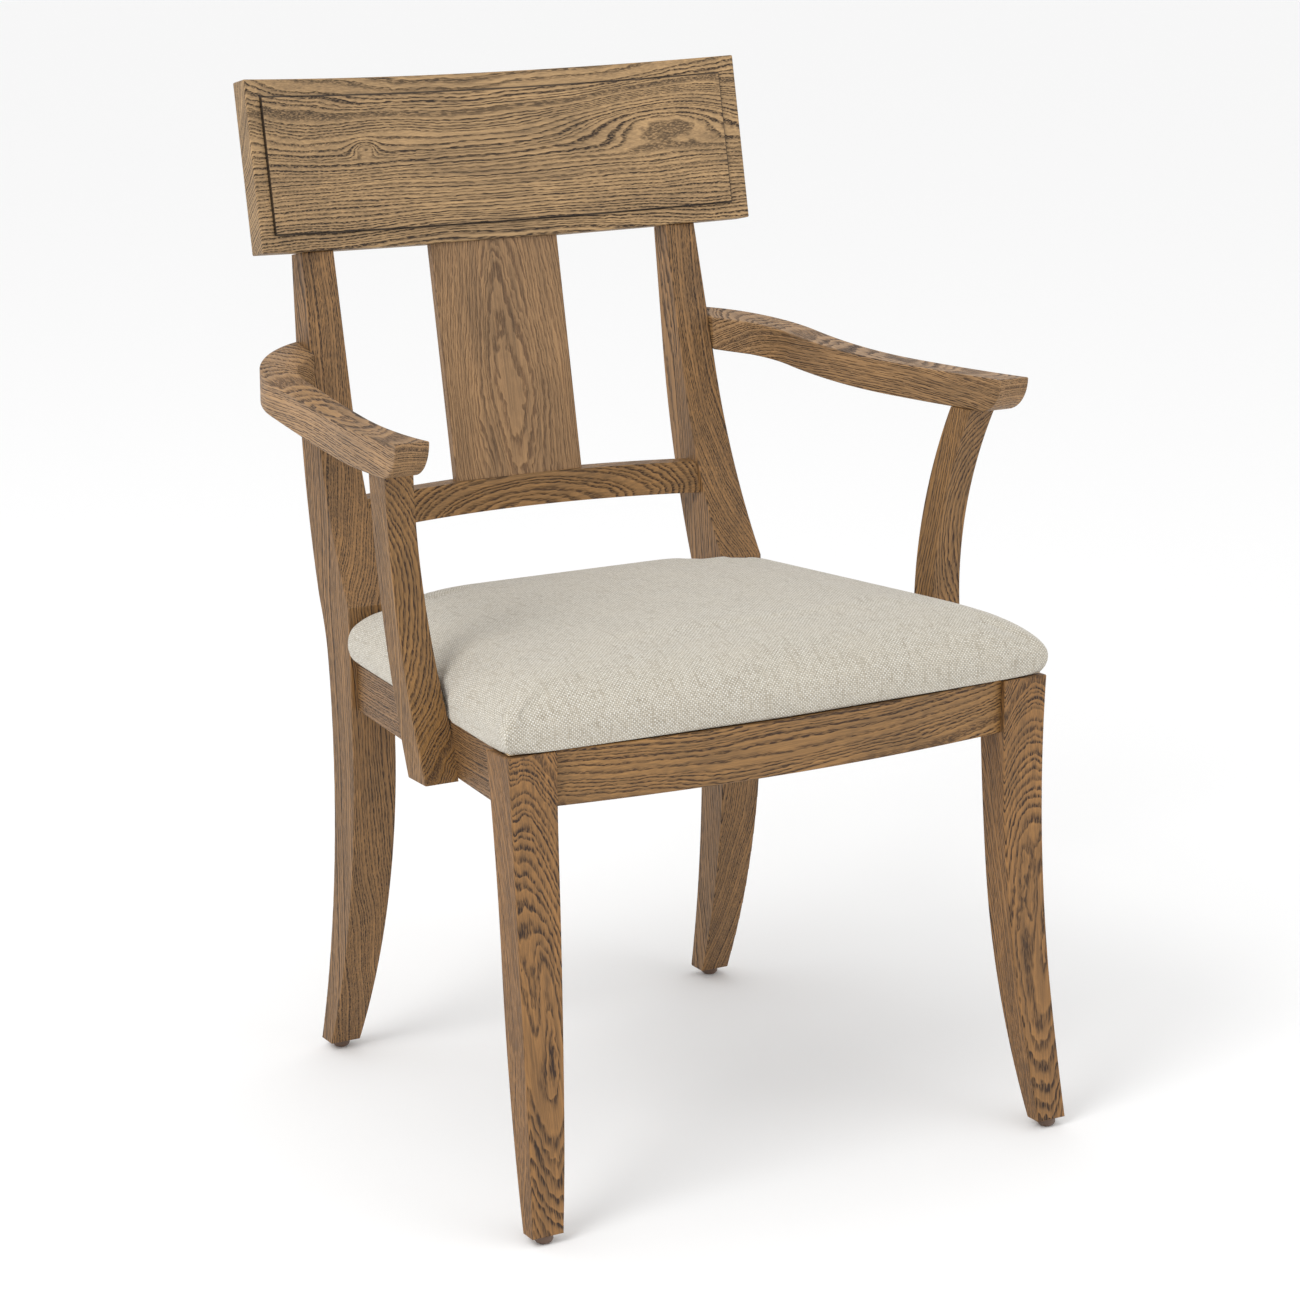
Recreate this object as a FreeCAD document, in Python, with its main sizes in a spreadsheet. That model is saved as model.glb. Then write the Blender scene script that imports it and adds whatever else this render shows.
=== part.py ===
import FreeCAD, Part

import math
import os

import Sketcher
from FreeCAD import Rotation, Vector

# An open armchair of the klismos kind: sabre legs, a bowed crest board, a flat splat and a padded seat.
# Millimetres. +X is to the right as seen from the front, the front faces -Y and +Z is up, so "left" and
# "right" are as seen from the front. The origin is on the floor under the middle of the chair's box.

SIZES = {
    # overall
    "seat_height": 423.0,          # top of the seat frame at the front
    "seat_slope": 1.9,             # degrees, the seat falls to the back
    "seat_depth": 411.9,           # front leg face to the crease of the rear stiles
    "leg_face": 277.5,             # front leg faces ahead of the origin
    "front_half": 276.8,           # outer faces of the front legs, at the seat
    "rear_half": 227.0,            # outer faces of the rear legs, at the seat
    "easing": 1.4,                 # softened edges of the woodwork
    "fit": 0.2,                    # clearance all round a tenon, a dowel or a screw
    # front legs
    "front_leg_width": 46.8,
    "front_leg_depth": 41.7,
    "front_leg_bow": 1900.0,       # sabre curve of the front face
    "front_hock": 120.0,           # height where that curve runs straight to the foot
    "front_foot_reach": 43.0,      # toe ahead of the leg face
    "front_foot_depth": 19.0,
    "front_knee": 240.0,           # height where the back face starts to curve
    "front_knee_depth": 25.7,
    "front_back_bow": 915.0,
    "front_foot_splay": 3.5,
    "front_foot_width": 30.0,
    "front_outer_bow": 3640.0,
    "front_inner_knee": 330.0,
    # rear legs and stiles, one piece a side
    "rear_leg_width": 45.0,
    "crease_rise": 36.5,           # crease above the seat frame
    "rear_knee": 310.0,            # height where the front face starts to sweep back
    "rear_knee_step": 4.2,
    "rear_front_bow": 722.0,
    "rear_foot_back": 59.1,        # front of the foot behind the crease
    "rear_foot_depth": 23.8,
    "rear_foot_inset": 14.3,
    "rear_inner_knee": 360.0,
    "rear_back_bow": 933.0,
    "haunch_drop": 23.0,
    "haunch_back": 48.3,
    "haunch_bow": 183.0,
    "hip_rise": 23.2,
    "hip_back": 60.4,
    "stile_back_bow": 933.0,
    "nape_rise": 241.1,            # above it the back face is straight
    "nape_back": 119.6,
    "stile_front_bow": 580.0,
    "shoulder_rise": 217.0,        # above it the front face is straight
    "shoulder_back": 77.3,
    "stile_top_back": 111.1,
    "stile_top_depth": 25.2,
    "stile_top_half": 214.4,
    # crest board
    "crest_rise": 352.3,           # lower front edge above the seat frame, in the middle
    "crest_back": 128.6,           # the same edge behind the crease
    "crest_lean": 12.2,            # degrees
    "crest_height": 161.4,
    "crest_half": 265.0,
    "crest_thickness": 24.0,
    "crest_bow": 860.0,
    "field_border": 17.0,
    "field_raise": 2.5,
    "stile_tenon_inset": 11.0,     # its middle behind the crest's chord line at that place
    "stile_tenon_width": 24.0,
    "stile_tenon_thickness": 10.0,
    "stile_tenon_length": 34.0,
    # lower back rail and splat
    "back_rail_rise": 96.5,        # lower edge above the seat frame
    "back_rail_back": 73.4,        # the same edge behind the crease, in the middle
    "back_rail_height": 30.2,
    "back_rail_slant": 7.4,
    "back_rail_bow": 575.0,
    "back_rail_thickness": 18.0,
    "back_tenon_length": 20.0,
    "back_tenon_height": 18.0,
    "back_tenon_thickness": 9.0,
    "splat_width": 138.4,
    "splat_thickness": 10.0,
    "splat_setback": 2.5,          # behind the crest's face, in the middle
    "splat_tongue": 14.0,
    "tongue_thickness": 6.0,
    "tongue_shoulder": 8.0,
    # seat frame
    "rail_height": 49.7,
    "rail_thickness": 22.0,
    "front_rail_inset": 5.7,
    "front_rail_bow": 18.5,        # how far the middle stands forward
    "side_rail_front_inset": 8.8,
    "side_rail_rear_inset": 7.0,
    "rear_rail_inset": 13.0,
    "block_reach": 58.0,
    "block_height": 36.0,
    "block_drop": 6.0,
    # arms
    "arm_rise": 247.7,             # top of the arm above the seat frame, at its lowest
    "arm_low_point": 275.7,        # that place behind the front leg faces
    "arm_thickness": 32.0,
    "arm_width": 32.0,
    "arm_rear_sweep": 1435.0,      # rise of the arm to the back, as a radius
    "arm_front_sweep": 2570.0,
    "arm_front": 105.0,            # nose behind the front leg faces
    "arm_nose_back": 26.8,
    "arm_nose_bow": 34.0,
    "arm_front_half": 324.8,
    "arm_waist_half": 312.0,
    "arm_waist": 255.7,            # where the two long curves of the outer edge meet
    "arm_front_bow": 1118.0,
    "arm_waist_bow": 1477.0,
    "arm_elbow_half": 295.8,
    "arm_elbow": 15.1,             # behind the crease, as the next places are
    "arm_elbow_bow": 122.0,
    "arm_root_back": 122.1,        # outer edge at the stile
    "arm_inner_elbow_half": 262.0,
    "arm_inner_elbow": 6.1,
    "arm_inner_bow": 80.0,
    "arm_bend_half": 245.0,
    "arm_bend": 55.8,
    "arm_root_front": 85.1,        # inner edge at the stile
    # arm supports
    "support_foot": 132.7,         # behind the front leg faces
    "support_foot_depth": 34.6,
    "support_foot_half": 288.0,
    "support_foot_width": 37.5,
    "support_drop": 2.0,           # foot below the side rail
    "support_top": 144.4,
    "support_top_depth": 33.3,
    "support_top_half": 316.3,
    "support_top_width": 27.0,
    "support_front_bow": 368.0,
    "support_back_bow": 416.0,
    "support_outer_bow": 1612.0,
    "support_inner_bow": 3364.0,
    # fastenings
    "dowel": 8.0,
    "dowel_length": 42.0,
    "dowel_edge": 9.0,             # nearest dowel centre from the edge of a rail
    "arm_dowel_length": 38.0,
    "arm_dowel_edge": 8.0,         # from the inner edge at the stile
    "arm_dowel_spacing": 12.0,
    "arm_dowel_rise": 4.6,         # middle of the pair above the lowest part of the arm
    "arm_dowel_step": 6.0,
    "hole_spare": 1.0,             # hole deeper than the dowel or screw, each end
    "mortise_spare": 1.0,          # mortise deeper than its tenon
    "screw": 4.5,
    "screw_head": 9.0,
    "screw_head_height": 2.6,
    "block_screw_length": 32.0,
    "block_pocket": 28.0,          # the head's pocket runs back past the block's open face
    "block_screw_reach": 36.0,     # along the rail from the leg's corner
    "block_screw_in": 2.9,
    "front_block_screw_back": 2.0,
    "rear_block_screw_back": 12.8,
    "support_screw_length": 40.0,
    "upper_support_screw_back": 32.0,   # behind the front of the support's foot
    "lower_support_screw_back": 21.0,
    "seat_screw_length": 44.0,
    "seat_screw_in": 17.4,         # from the leg's corner
    "front_seat_screw_back": 19.7,
    "rear_seat_screw_back": 16.2,
    "glide_height": 8.0,
    "glide_width": 17.0,
    "glide_crown": 5.0,            # flat underside's radius
    "glide_dome": 5.6,
    "glide_nail": 2.4,
    "glide_nail_length": 18.0,
    # seat
    "seat_front_half": 278.0,
    "seat_rear_half": 224.0,
    "seat_front_reach": 2.0,       # front corners behind the front leg faces
    "seat_front_bow": 13.0,
    "seat_back_reach": 38.1,       # back edge between the stiles, behind the crease
    "seat_crown": 67.0,            # middle of the seat above the frame
    "seat_clear": 0.8,             # seat clear of the stiles and the supports
    "cover_thickness": 1.2,
    "cover_turn": 42.0,            # how far the cover turns in under the board
    "board_thickness": 12.0,
    "board_inset": 4.0,
    "foam_clear": 0.3,
    "dust_thickness": 0.6,
    "staple_length": 10.0,
    "staple_wire": 1.2,
    "staple_leg": 6.0,
    "staple_inset": 34.0,
    "rear_staple_inset": 40.0,
    "staple_clear": 3.6,           # side rows inside the rails
    "staple_spacing": 50.0,
    "side_staple_inset": 36.0,     # end staples from the front leg and from the crease
}
BEYOND = 1000.0                    # cutting outlines reach well past the chair
OVERLAP = 1.0                      # a tenon runs this far into the member that it is part of
PAST = 4.0                         # an outline that another one trims runs this far past it
LONGER = 1.1                       # an edge this much longer than a section's own edges is a long edge
FRONT_STAPLES = 7
REAR_STAPLES = 5
SIDE_STAPLES = 5
SIDES = {"left": -1, "right": 1}

doc = FreeCAD.newDocument("klismos_armchair")
sheet = doc.addObject("Spreadsheet::Sheet", "Sizes")
pieces = {}


class Dim:
    """A length, angle or ratio: its value, and the formula over the sheet that gives it."""

    def __init__(self, value, formula):
        self.value = float(value)
        self.formula = formula

    def __add__(self, other):
        other = dim(other)
        return Dim(self.value + other.value, f"({self.formula} + {other.formula})")

    def __sub__(self, other):
        other = dim(other)
        return Dim(self.value - other.value, f"({self.formula} - {other.formula})")

    def __mul__(self, other):
        other = dim(other)
        return Dim(self.value * other.value, f"({self.formula} * {other.formula})")

    def __truediv__(self, other):
        other = dim(other)
        return Dim(self.value / other.value, f"({self.formula} / {other.formula})")

    def __neg__(self):
        return dim(0) - self

    def __radd__(self, other):
        return dim(other) + self

    def __rsub__(self, other):
        return dim(other) - self

    def __rmul__(self, other):
        return dim(other) * self


def dim(thing):
    return thing if isinstance(thing, Dim) else Dim(thing, str(float(thing)))


def tangent(angle):
    return Dim(math.tan(math.radians(angle.value)), f"tan({angle.formula})")


def cosine(angle):
    return Dim(math.cos(math.radians(angle.value)), f"cos({angle.formula})")


def sine(angle):
    return Dim(math.sin(math.radians(angle.value)), f"sin({angle.formula})")


def root(square):
    return Dim(math.sqrt(square.value), f"sqrt({square.formula})")


def sag(radius, reach):
    """How far a circle falls away from its tangent at this reach."""
    return radius - root(radius * radius - reach * reach)


def fill_sheet():
    for row, (alias, value) in enumerate(SIZES.items(), 1):
        sheet.set(f"A{row}", alias)
        sheet.set(f"B{row}", str(value))
        sheet.setAlias(f"B{row}", alias)
    doc.recompute()
    return {alias: Dim(value, f"Sizes.{alias}") for alias, value in SIZES.items()}


S = fill_sheet()

# datums that many pieces share
FRONT = -S["leg_face"]
CREASE = FRONT + S["seat_depth"]
FALL = tangent(S["seat_slope"])
CREST_Y = CREASE + S["crest_back"]
CREST_Z = S["seat_height"] + S["crest_rise"]
CREST_FALL = tangent(S["crest_lean"])


def seat_z(y, drop=0.0):
    """Height of the seat frame's top at y, less a drop."""
    return S["seat_height"] - FALL * (y - FRONT) - drop


def crest_z(y):
    """Height of the crest's underside at y."""
    return CREST_Z - CREST_FALL * (y - CREST_Y)


# ---------------------------------------------------------------- drawing helpers

def bind(thing, prop, size):
    thing.setExpression(prop, dim(size).formula)


def arc_between(start, end, radius):
    """The arc from start to end; its centre is on the left where the radius is positive."""
    chord = end - start
    half = chord.Length / 2
    reach = math.sqrt(radius * radius - half * half)
    left = Vector(-chord.y, chord.x, 0).normalize()
    side = 1 if radius > 0 else -1
    centre = (start + end) / 2 + left * reach * side
    first, last = (start, end) if side > 0 else (end, start)
    angles = [math.atan2(p.y - centre.y, p.x - centre.x) for p in (first, last)]
    return Part.ArcOfCircle(Part.Circle(centre, Vector(0, 0, 1), abs(radius)), *angles)


def pin(drawing, constraint, size):
    """Adds a dimension to a drawing and binds it to the sheet."""
    index = drawing.addConstraint(constraint)
    drawing.setExpression(f"Constraints[{index}]", size.formula)


def draw_loop(drawing, points, arcs):
    """A closed outline: each corner is dimensioned from the axes, each arc has its radius."""
    first = drawing.GeometryCount
    count = len(points)
    spots = [Vector(a.value, b.value, 0) for a, b in points]
    starts = []
    ends = []
    for i in range(count):
        begin, finish = spots[i], spots[(i + 1) % count]
        if i in arcs:
            drawing.addGeometry(arc_between(begin, finish, arcs[i].value))
            turned = arcs[i].value < 0
        else:
            drawing.addGeometry(Part.LineSegment(begin, finish))
            turned = False
        starts.append(2 if turned else 1)
        ends.append(1 if turned else 2)
    for i in range(count):
        following = (i + 1) % count
        drawing.addConstraint(Sketcher.Constraint(
            "Coincident", first + i, ends[i], first + following, starts[following]))
    for i, (a, b) in enumerate(points):
        for kind, size in (("DistanceX", a), ("DistanceY", b)):
            pin(drawing, Sketcher.Constraint(kind, first + i, starts[i], size.value), size)
    for i, radius in arcs.items():
        size = radius if radius.value > 0 else -radius
        pin(drawing, Sketcher.Constraint("Radius", first + i, size.value), size)


def sketch(body, name, plane, loops, up=None):
    """A sketch on one of the body's own origin planes, holding (points, arcs) loops."""
    drawing = body.newObject("Sketcher::SketchObject", name)
    base = [f for f in body.Origin.OriginFeatures if f.Role == plane][0]
    drawing.AttachmentSupport = [(base, "")]
    drawing.MapMode = "FlatFace"
    if up is not None:
        bind(drawing, "AttachmentOffset.Base.z", up)
    for points, arcs in loops:
        draw_loop(drawing, [(dim(a), dim(b)) for a, b in points], arcs)
    return drawing


def mirrored(points, arcs, side):
    """The same outline on the other side of the chair."""
    if side > 0:
        return points, arcs
    return [(-dim(a), b) for a, b in points], {i: -radius for i, radius in arcs.items()}


def new_body(name):
    return doc.addObject("PartDesign::Body", name)


def pad(body, drawing, length, both=False):
    feature = body.newObject("PartDesign::Pad", "Pad")
    feature.Profile = drawing
    feature.SideType = "Symmetric" if both else "One side"
    bind(feature, "Length", length)
    return feature


def trim(body, plane, points, arcs):
    """Cuts away all that lies outside an outline, right through the body."""
    frame = [(-BEYOND, -BEYOND), (BEYOND, -BEYOND), (BEYOND, BEYOND), (-BEYOND, BEYOND)]
    cut_through(body, plane, [(frame, {}), (points, arcs)])


def cut_through(body, plane, loops):
    feature = body.newObject("PartDesign::Pocket", "Pocket")
    feature.Profile = sketch(body, "Cut", plane, loops)
    feature.Type = "ThroughAll"
    feature.SideType = "Symmetric"


def ease(body, section):
    """Softens the edges of a member that are longer than its section."""
    doc.recompute()
    base = body.Tip
    long = dim(section).value * LONGER
    edges = [f"Edge{i}" for i, edge in enumerate(base.Shape.Edges, 1) if edge.Length > long]
    feature = body.newObject("PartDesign::Fillet", "Easing")
    feature.Base = (base, edges)
    bind(feature, "Radius", S["easing"])
    body.Tip = feature


def member(name, first, second):
    """A shaped wooden member: one outline padded across the chair, trimmed to a second outline."""
    body = new_body(name)
    plane, points, arcs = first
    pad(body, sketch(body, "Outline", plane, [(points, arcs)]), dim(BEYOND), both=True)
    trim(body, *second)
    return body


TURNS = {
    "x": Rotation(Vector(0, 1, 0), 90),
    "-x": Rotation(Vector(0, 1, 0), -90),
    "y": Rotation(Vector(1, 0, 0), -90),
    "-y": Rotation(Vector(1, 0, 0), 90),
    "z": Rotation(),
    "-z": Rotation(Vector(1, 0, 0), 180),
}


def place(thing, at):
    for axis, size in zip("xyz", at):
        bind(thing, f"Placement.Base.{axis}", size)


def rod(at, axis, length, width):
    """A cylinder from a point along an axis."""
    thing = doc.addObject("Part::Cylinder", "Rod")
    thing.Placement.Rotation = TURNS[axis]
    bind(thing, "Radius", dim(width) / 2)
    bind(thing, "Height", length)
    place(thing, at)
    return thing


def brick(low, high):
    """A box between two corners."""
    thing = doc.addObject("Part::Box", "Brick")
    for prop, a, b in zip(("Length", "Width", "Height"), low, high):
        bind(thing, prop, dim(b) - a)
    place(thing, low)
    return thing


def lean(thing, low):
    """Turns a box about its own corner to the lean of the crest; the corner is in the crest's axes."""
    across, inward, along = (dim(size) for size in low)
    tilt, rise = sine(S["crest_lean"]), cosine(S["crest_lean"])
    thing.Placement.Rotation = Rotation(Vector(-1, 0, 0), 1)
    bind(thing, "Placement.Rotation.Angle", S["crest_lean"])
    place(thing, (across, CREST_Y + inward * rise + along * tilt, CREST_Z - inward * tilt + along * rise))
    return thing


def leaning_brick(low, high):
    """A box in the crest's own axes: across, behind its face, and up along it."""
    return lean(brick(low, high), low)


def group(name, members):
    thing = doc.addObject("Part::Compound", name)
    thing.Links = members
    return thing


def joined(name, members):
    thing = doc.addObject("Part::MultiFuse", name)
    thing.Shapes = members
    return thing


def shaped(name, blank, add=(), cut=()):
    """A blank with tenons added and mortises and holes cut."""
    thing = blank
    if add:
        thing = joined(name, [blank, *add])
    if cut:
        whole = thing
        thing = doc.addObject("Part::Cut", name)
        thing.Base = whole
        thing.Tool = group(name + "_cuts", list(cut))
    blank.Label = name + "_blank"
    thing.Label = name
    return thing


def piece(name, blank, add=(), cut=()):
    """A finished piece, in a node of its own."""
    pieces[name] = shaped(name, blank, add, cut)


# ---------------------------------------------------------------- front legs

LEG_INNER = S["front_half"] - S["front_leg_width"]
LEG_BACK = FRONT + S["front_leg_depth"]
LEG_BACK_SLOPE = (S["front_leg_depth"] - S["front_knee_depth"]) / (S["seat_height"] - S["front_knee"])


def front_leg(name, side):
    top, foot = S["seat_height"], S["glide_height"]
    toe = FRONT - S["front_foot_reach"]
    hock = FRONT - sag(S["front_leg_bow"], top - S["front_hock"])
    back = FRONT + S["front_leg_depth"] / (1 + LEG_BACK_SLOPE * FALL)
    profile = [(FRONT, top), (hock, S["front_hock"]), (toe, foot), (toe + S["front_foot_depth"], foot),
               (FRONT + S["front_knee_depth"], S["front_knee"]), (back, seat_z(back))]
    bends = {0: -S["front_leg_bow"], 3: S["front_back_bow"]}
    foot_out = S["front_half"] + S["front_foot_splay"]
    face = [(S["front_half"], top), (LEG_INNER, top), (LEG_INNER, S["front_inner_knee"]),
            (foot_out - S["front_foot_width"], foot), (foot_out, foot)]
    inner_bow = chord_bow(foot_out - S["front_foot_width"] - LEG_INNER, S["front_inner_knee"] - foot)
    curves = {2: inner_bow, 4: -S["front_outer_bow"]}
    body = member(name, ("YZ_Plane", profile, bends), ("XZ_Plane", *mirrored(face, curves, side)))
    ease(body, S["front_foot_depth"])
    return body


def chord_bow(step, reach):
    """Radius of the arc that leaves a straight line and is a step away from it at this reach."""
    return (step * step + reach * reach) / (2 * step)


# ---------------------------------------------------------------- rear legs

KNEE_Y = CREASE - S["rear_knee_step"]
CREASE_Z = S["seat_height"] + S["crease_rise"]
STILE_INNER = S["rear_half"] - S["rear_leg_width"]
STILE_SLOPE = S["rear_knee_step"] / (CREASE_Z - S["rear_knee"])
STILE_TOP_FRONT = CREASE + S["stile_top_back"]
STILE_TOP_BACK = STILE_TOP_FRONT + S["stile_top_depth"]
STILE_TOP_Z = crest_z(STILE_TOP_FRONT)
STILE_TAPER = (S["rear_half"] - S["stile_top_half"]) / (STILE_TOP_Z - CREASE_Z)


def stile_face_x(z):
    """Outer face of a stile above the crease."""
    return S["rear_half"] - STILE_TAPER * (z - CREASE_Z)


def rear_leg(name, side):
    top, foot = S["seat_height"], S["glide_height"]
    heel = CREASE + S["rear_foot_back"]
    profile = [(CREASE, CREASE_Z), (KNEE_Y, S["rear_knee"]), (heel, foot),
               (heel + S["rear_foot_depth"], foot),
               (CREASE + S["haunch_back"], top - S["haunch_drop"]),
               (CREASE + S["hip_back"], top + S["hip_rise"]),
               (CREASE + S["nape_back"], top + S["nape_rise"]),
               (STILE_TOP_BACK, crest_z(STILE_TOP_BACK)), (STILE_TOP_FRONT, STILE_TOP_Z),
               (CREASE + S["shoulder_back"], top + S["shoulder_rise"])]
    bends = {1: S["rear_front_bow"], 3: -S["rear_back_bow"], 4: -S["haunch_bow"],
             5: S["stile_back_bow"], 9: -S["stile_front_bow"]}
    peak = STILE_TOP_Z + S["stile_top_depth"]
    foot_in = STILE_INNER + S["rear_foot_inset"]
    inner_bow = chord_bow(S["rear_foot_inset"], S["rear_inner_knee"] - foot)
    face = [(STILE_INNER, peak), (STILE_INNER, S["rear_inner_knee"]), (foot_in, foot),
            (S["rear_half"], foot), (S["rear_half"], CREASE_Z), (stile_face_x(peak), peak)]
    body = member(name, ("YZ_Plane", profile, bends), ("XZ_Plane", *mirrored(face, {1: inner_bow}, side)))
    ease(body, S["rear_foot_depth"])
    return body


def depth_spare(spare):
    """Nothing for a tenon; for its mortise, how much deeper that is."""
    return S["mortise_spare"] if spare.value else dim(0)


def stile_tenon(side, spare):
    """The tenon on a stile's top, or with some spare the mortise for it in the crest."""
    half_width = S["stile_tenon_width"] / 2 + spare
    middle = (STILE_INNER + S["stile_top_half"]) / 2
    face = S["stile_tenon_thickness"] / 2 + spare
    inward = -S["stile_tenon_inset"]
    start = dim(-OVERLAP) if spare.value else -S["stile_tenon_thickness"]
    end = S["stile_tenon_length"] + depth_spare(spare)
    return leaning_brick((side * middle - half_width, inward - face, start),
                         (side * middle + half_width, inward + face, end))


# ---------------------------------------------------------------- crest board

def crest_outline(face, thickness, half):
    """The bowed strip in plan, in the crest's own axes; the middle of its face is at the origin."""
    front, back = S["crest_bow"] - face, S["crest_bow"] - face + thickness
    centre = -S["crest_bow"]
    end_front = centre + root(front * front - half * half)
    end_back = centre + root(back * back - half * half)
    points = [(-half, end_front), (half, end_front), (half, end_back), (-half, end_back)]
    return points, {0: -front, 2: back}


def crest_board():
    body = new_body("crest")
    board = crest_outline(dim(0), S["crest_thickness"], S["crest_half"])
    pad(body, sketch(body, "Board", "XY_Plane", [board]), S["crest_height"])
    ease(body, S["crest_thickness"] / 2)
    border = S["field_border"]
    field = crest_outline(S["field_raise"], S["field_raise"] * 2, S["crest_half"] - border)
    pad(body, sketch(body, "Field", "XY_Plane", [field], up=border), S["crest_height"] - border * 2)
    body.Placement.Rotation = Rotation(Vector(-1, 0, 0), 1)
    bind(body, "Placement.Rotation.Angle", S["crest_lean"])
    place(body, (0, CREST_Y, CREST_Z))
    return body


# ---------------------------------------------------------------- splat and lower back rail

BACK_RAIL_Z = S["seat_height"] + S["back_rail_rise"]
BACK_RAIL_TOP = BACK_RAIL_Z + S["back_rail_height"]
BACK_RAIL_TOP_Y = CREASE + S["back_rail_back"] + S["back_rail_slant"]


def on_splat(setback, z):
    """Where a plane parallel to the splat's face, this far behind the crest's, meets a height."""
    rise = cosine(S["crest_lean"])
    return CREST_Y + setback / rise - CREST_FALL * (CREST_Z - z)


def splat_board():
    body = new_body("splat")
    front, back = S["splat_setback"], S["splat_setback"] + S["splat_thickness"]
    lean_back = sine(S["crest_lean"])
    rise = cosine(S["crest_lean"])
    points = [(on_splat(front, BACK_RAIL_TOP), BACK_RAIL_TOP), (on_splat(back, BACK_RAIL_TOP), BACK_RAIL_TOP),
              (CREST_Y + back * rise, CREST_Z - back * lean_back),
              (CREST_Y + front * rise, CREST_Z - front * lean_back)]
    pad(body, sketch(body, "Side", "YZ_Plane", [(points, {})]), S["splat_width"], both=True)
    ease(body, S["splat_width"])
    return body


def splat_tongue_top(spare):
    half = S["splat_width"] / 2 - S["tongue_shoulder"] + spare
    middle = S["splat_setback"] + S["splat_thickness"] / 2
    face = S["tongue_thickness"] / 2 + spare
    return leaning_brick((-half, middle - face, -OVERLAP),
                         (half, middle + face, S["splat_tongue"] + depth_spare(spare)))


def splat_tongue_bottom(spare):
    half = S["splat_width"] / 2 - S["tongue_shoulder"] + spare
    middle = on_splat(S["splat_setback"] + S["splat_thickness"] / 2, BACK_RAIL_TOP)
    face = S["tongue_thickness"] / 2 + spare
    return brick((-half, middle - face, BACK_RAIL_TOP - S["splat_tongue"] - depth_spare(spare)),
                 (half, middle + face, BACK_RAIL_TOP + OVERLAP))


def lower_rail():
    body = new_body("lower_rail")
    half = STILE_INNER
    front, back = S["back_rail_bow"], S["back_rail_bow"] + S["back_rail_thickness"]
    strips = []
    for name, face, up in (("Lower", CREASE + S["back_rail_back"], BACK_RAIL_Z),
                           ("Upper", BACK_RAIL_TOP_Y, BACK_RAIL_TOP)):
        end_front = face - sag(front, half)
        end_back = face + S["back_rail_thickness"] - sag(back, half)
        points = [(-half, end_front), (half, end_front), (half, end_back), (-half, end_back)]
        strips.append(sketch(body, name, "XY_Plane", [(points, {0: -front, 2: back})], up=up))
    loft = body.newObject("PartDesign::AdditiveLoft", "Strip")
    loft.Profile = strips[0]
    loft.Sections = [strips[1]]
    loft.Ruled = True
    return body


def rail_tenon(side, spare):
    """The tenon at an end of the lower back rail, or the mortise for it in the stile."""
    lift = (S["back_rail_height"] - S["back_tenon_height"]) / 2
    face = CREASE + S["back_rail_back"] + S["back_rail_slant"] / 2 - sag(S["back_rail_bow"], STILE_INNER)
    middle = face + S["back_rail_thickness"] / 2
    reach = STILE_INNER + S["back_tenon_length"] + depth_spare(spare)
    ends = sorted((side * (STILE_INNER - OVERLAP), side * reach), key=lambda end: end.value)
    half = S["back_tenon_thickness"] / 2 + spare
    return brick((ends[0], middle - half, BACK_RAIL_Z + lift - spare),
                 (ends[1], middle + half, BACK_RAIL_TOP - lift + spare))


# ---------------------------------------------------------------- seat frame

def rail_profile(front, back, front_slope=dim(0), back_slope=dim(0)):
    """A rail from the side: top and bottom follow the seat, the ends may follow the legs.

    front and back are where the ends would be at the height of the seat frame's front."""
    spots = []
    for at, slope, drop in ((front, front_slope, dim(0)), (front, front_slope, S["rail_height"]),
                            (back, back_slope, S["rail_height"]), (back, back_slope, dim(0))):
        y = FRONT + (at - FRONT - slope * drop) / (1 + slope * FALL)
        spots.append((y, seat_z(y, drop)))
    return spots


def front_rail_y(x, behind=dim(0)):
    """Front face of the bowed front rail at x, or a face behind it."""
    radius = FRONT_RAIL_BOW - behind
    return FRONT_RAIL_MIDDLE + behind + sag(radius, x)


FRONT_RAIL_BOW = (S["front_rail_bow"] * S["front_rail_bow"] + LEG_INNER * LEG_INNER) / (2 * S["front_rail_bow"])
FRONT_RAIL_MIDDLE = FRONT + S["front_rail_inset"] - S["front_rail_bow"]
REAR_RAIL_FRONT = CREASE + S["rear_rail_inset"] - S["rear_knee_step"]
REAR_RAIL_BACK = REAR_RAIL_FRONT + S["rail_thickness"]
SIDE_FRONT_X = S["front_half"] - S["side_rail_front_inset"]
SIDE_REAR_X = S["rear_half"] - S["side_rail_rear_inset"]
SIDE_SPLAY = (SIDE_FRONT_X - SIDE_REAR_X) / (KNEE_Y - LEG_BACK)
SIDE_THICK = S["rail_thickness"] * root(1 + SIDE_SPLAY * SIDE_SPLAY)


def side_rail_x(y, inward=dim(0)):
    """Outer face of a side rail at y, or a face further in."""
    return SIDE_FRONT_X - SIDE_SPLAY * (y - LEG_BACK) - inward


def front_rail():
    ends = front_rail_y(LEG_INNER), front_rail_y(LEG_INNER, S["rail_thickness"])
    plan = [(-LEG_INNER, ends[0]), (LEG_INNER, ends[0]), (LEG_INNER, ends[1]), (-LEG_INNER, ends[1])]
    bends = {0: FRONT_RAIL_BOW, 2: -(FRONT_RAIL_BOW - S["rail_thickness"])}
    profile = rail_profile(FRONT_RAIL_MIDDLE - S["rail_thickness"], LEG_BACK)
    body = member("front_rail", ("XY_Plane", plan, bends), ("YZ_Plane", profile, {}))
    ease(body, LEG_INNER)
    return body


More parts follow.
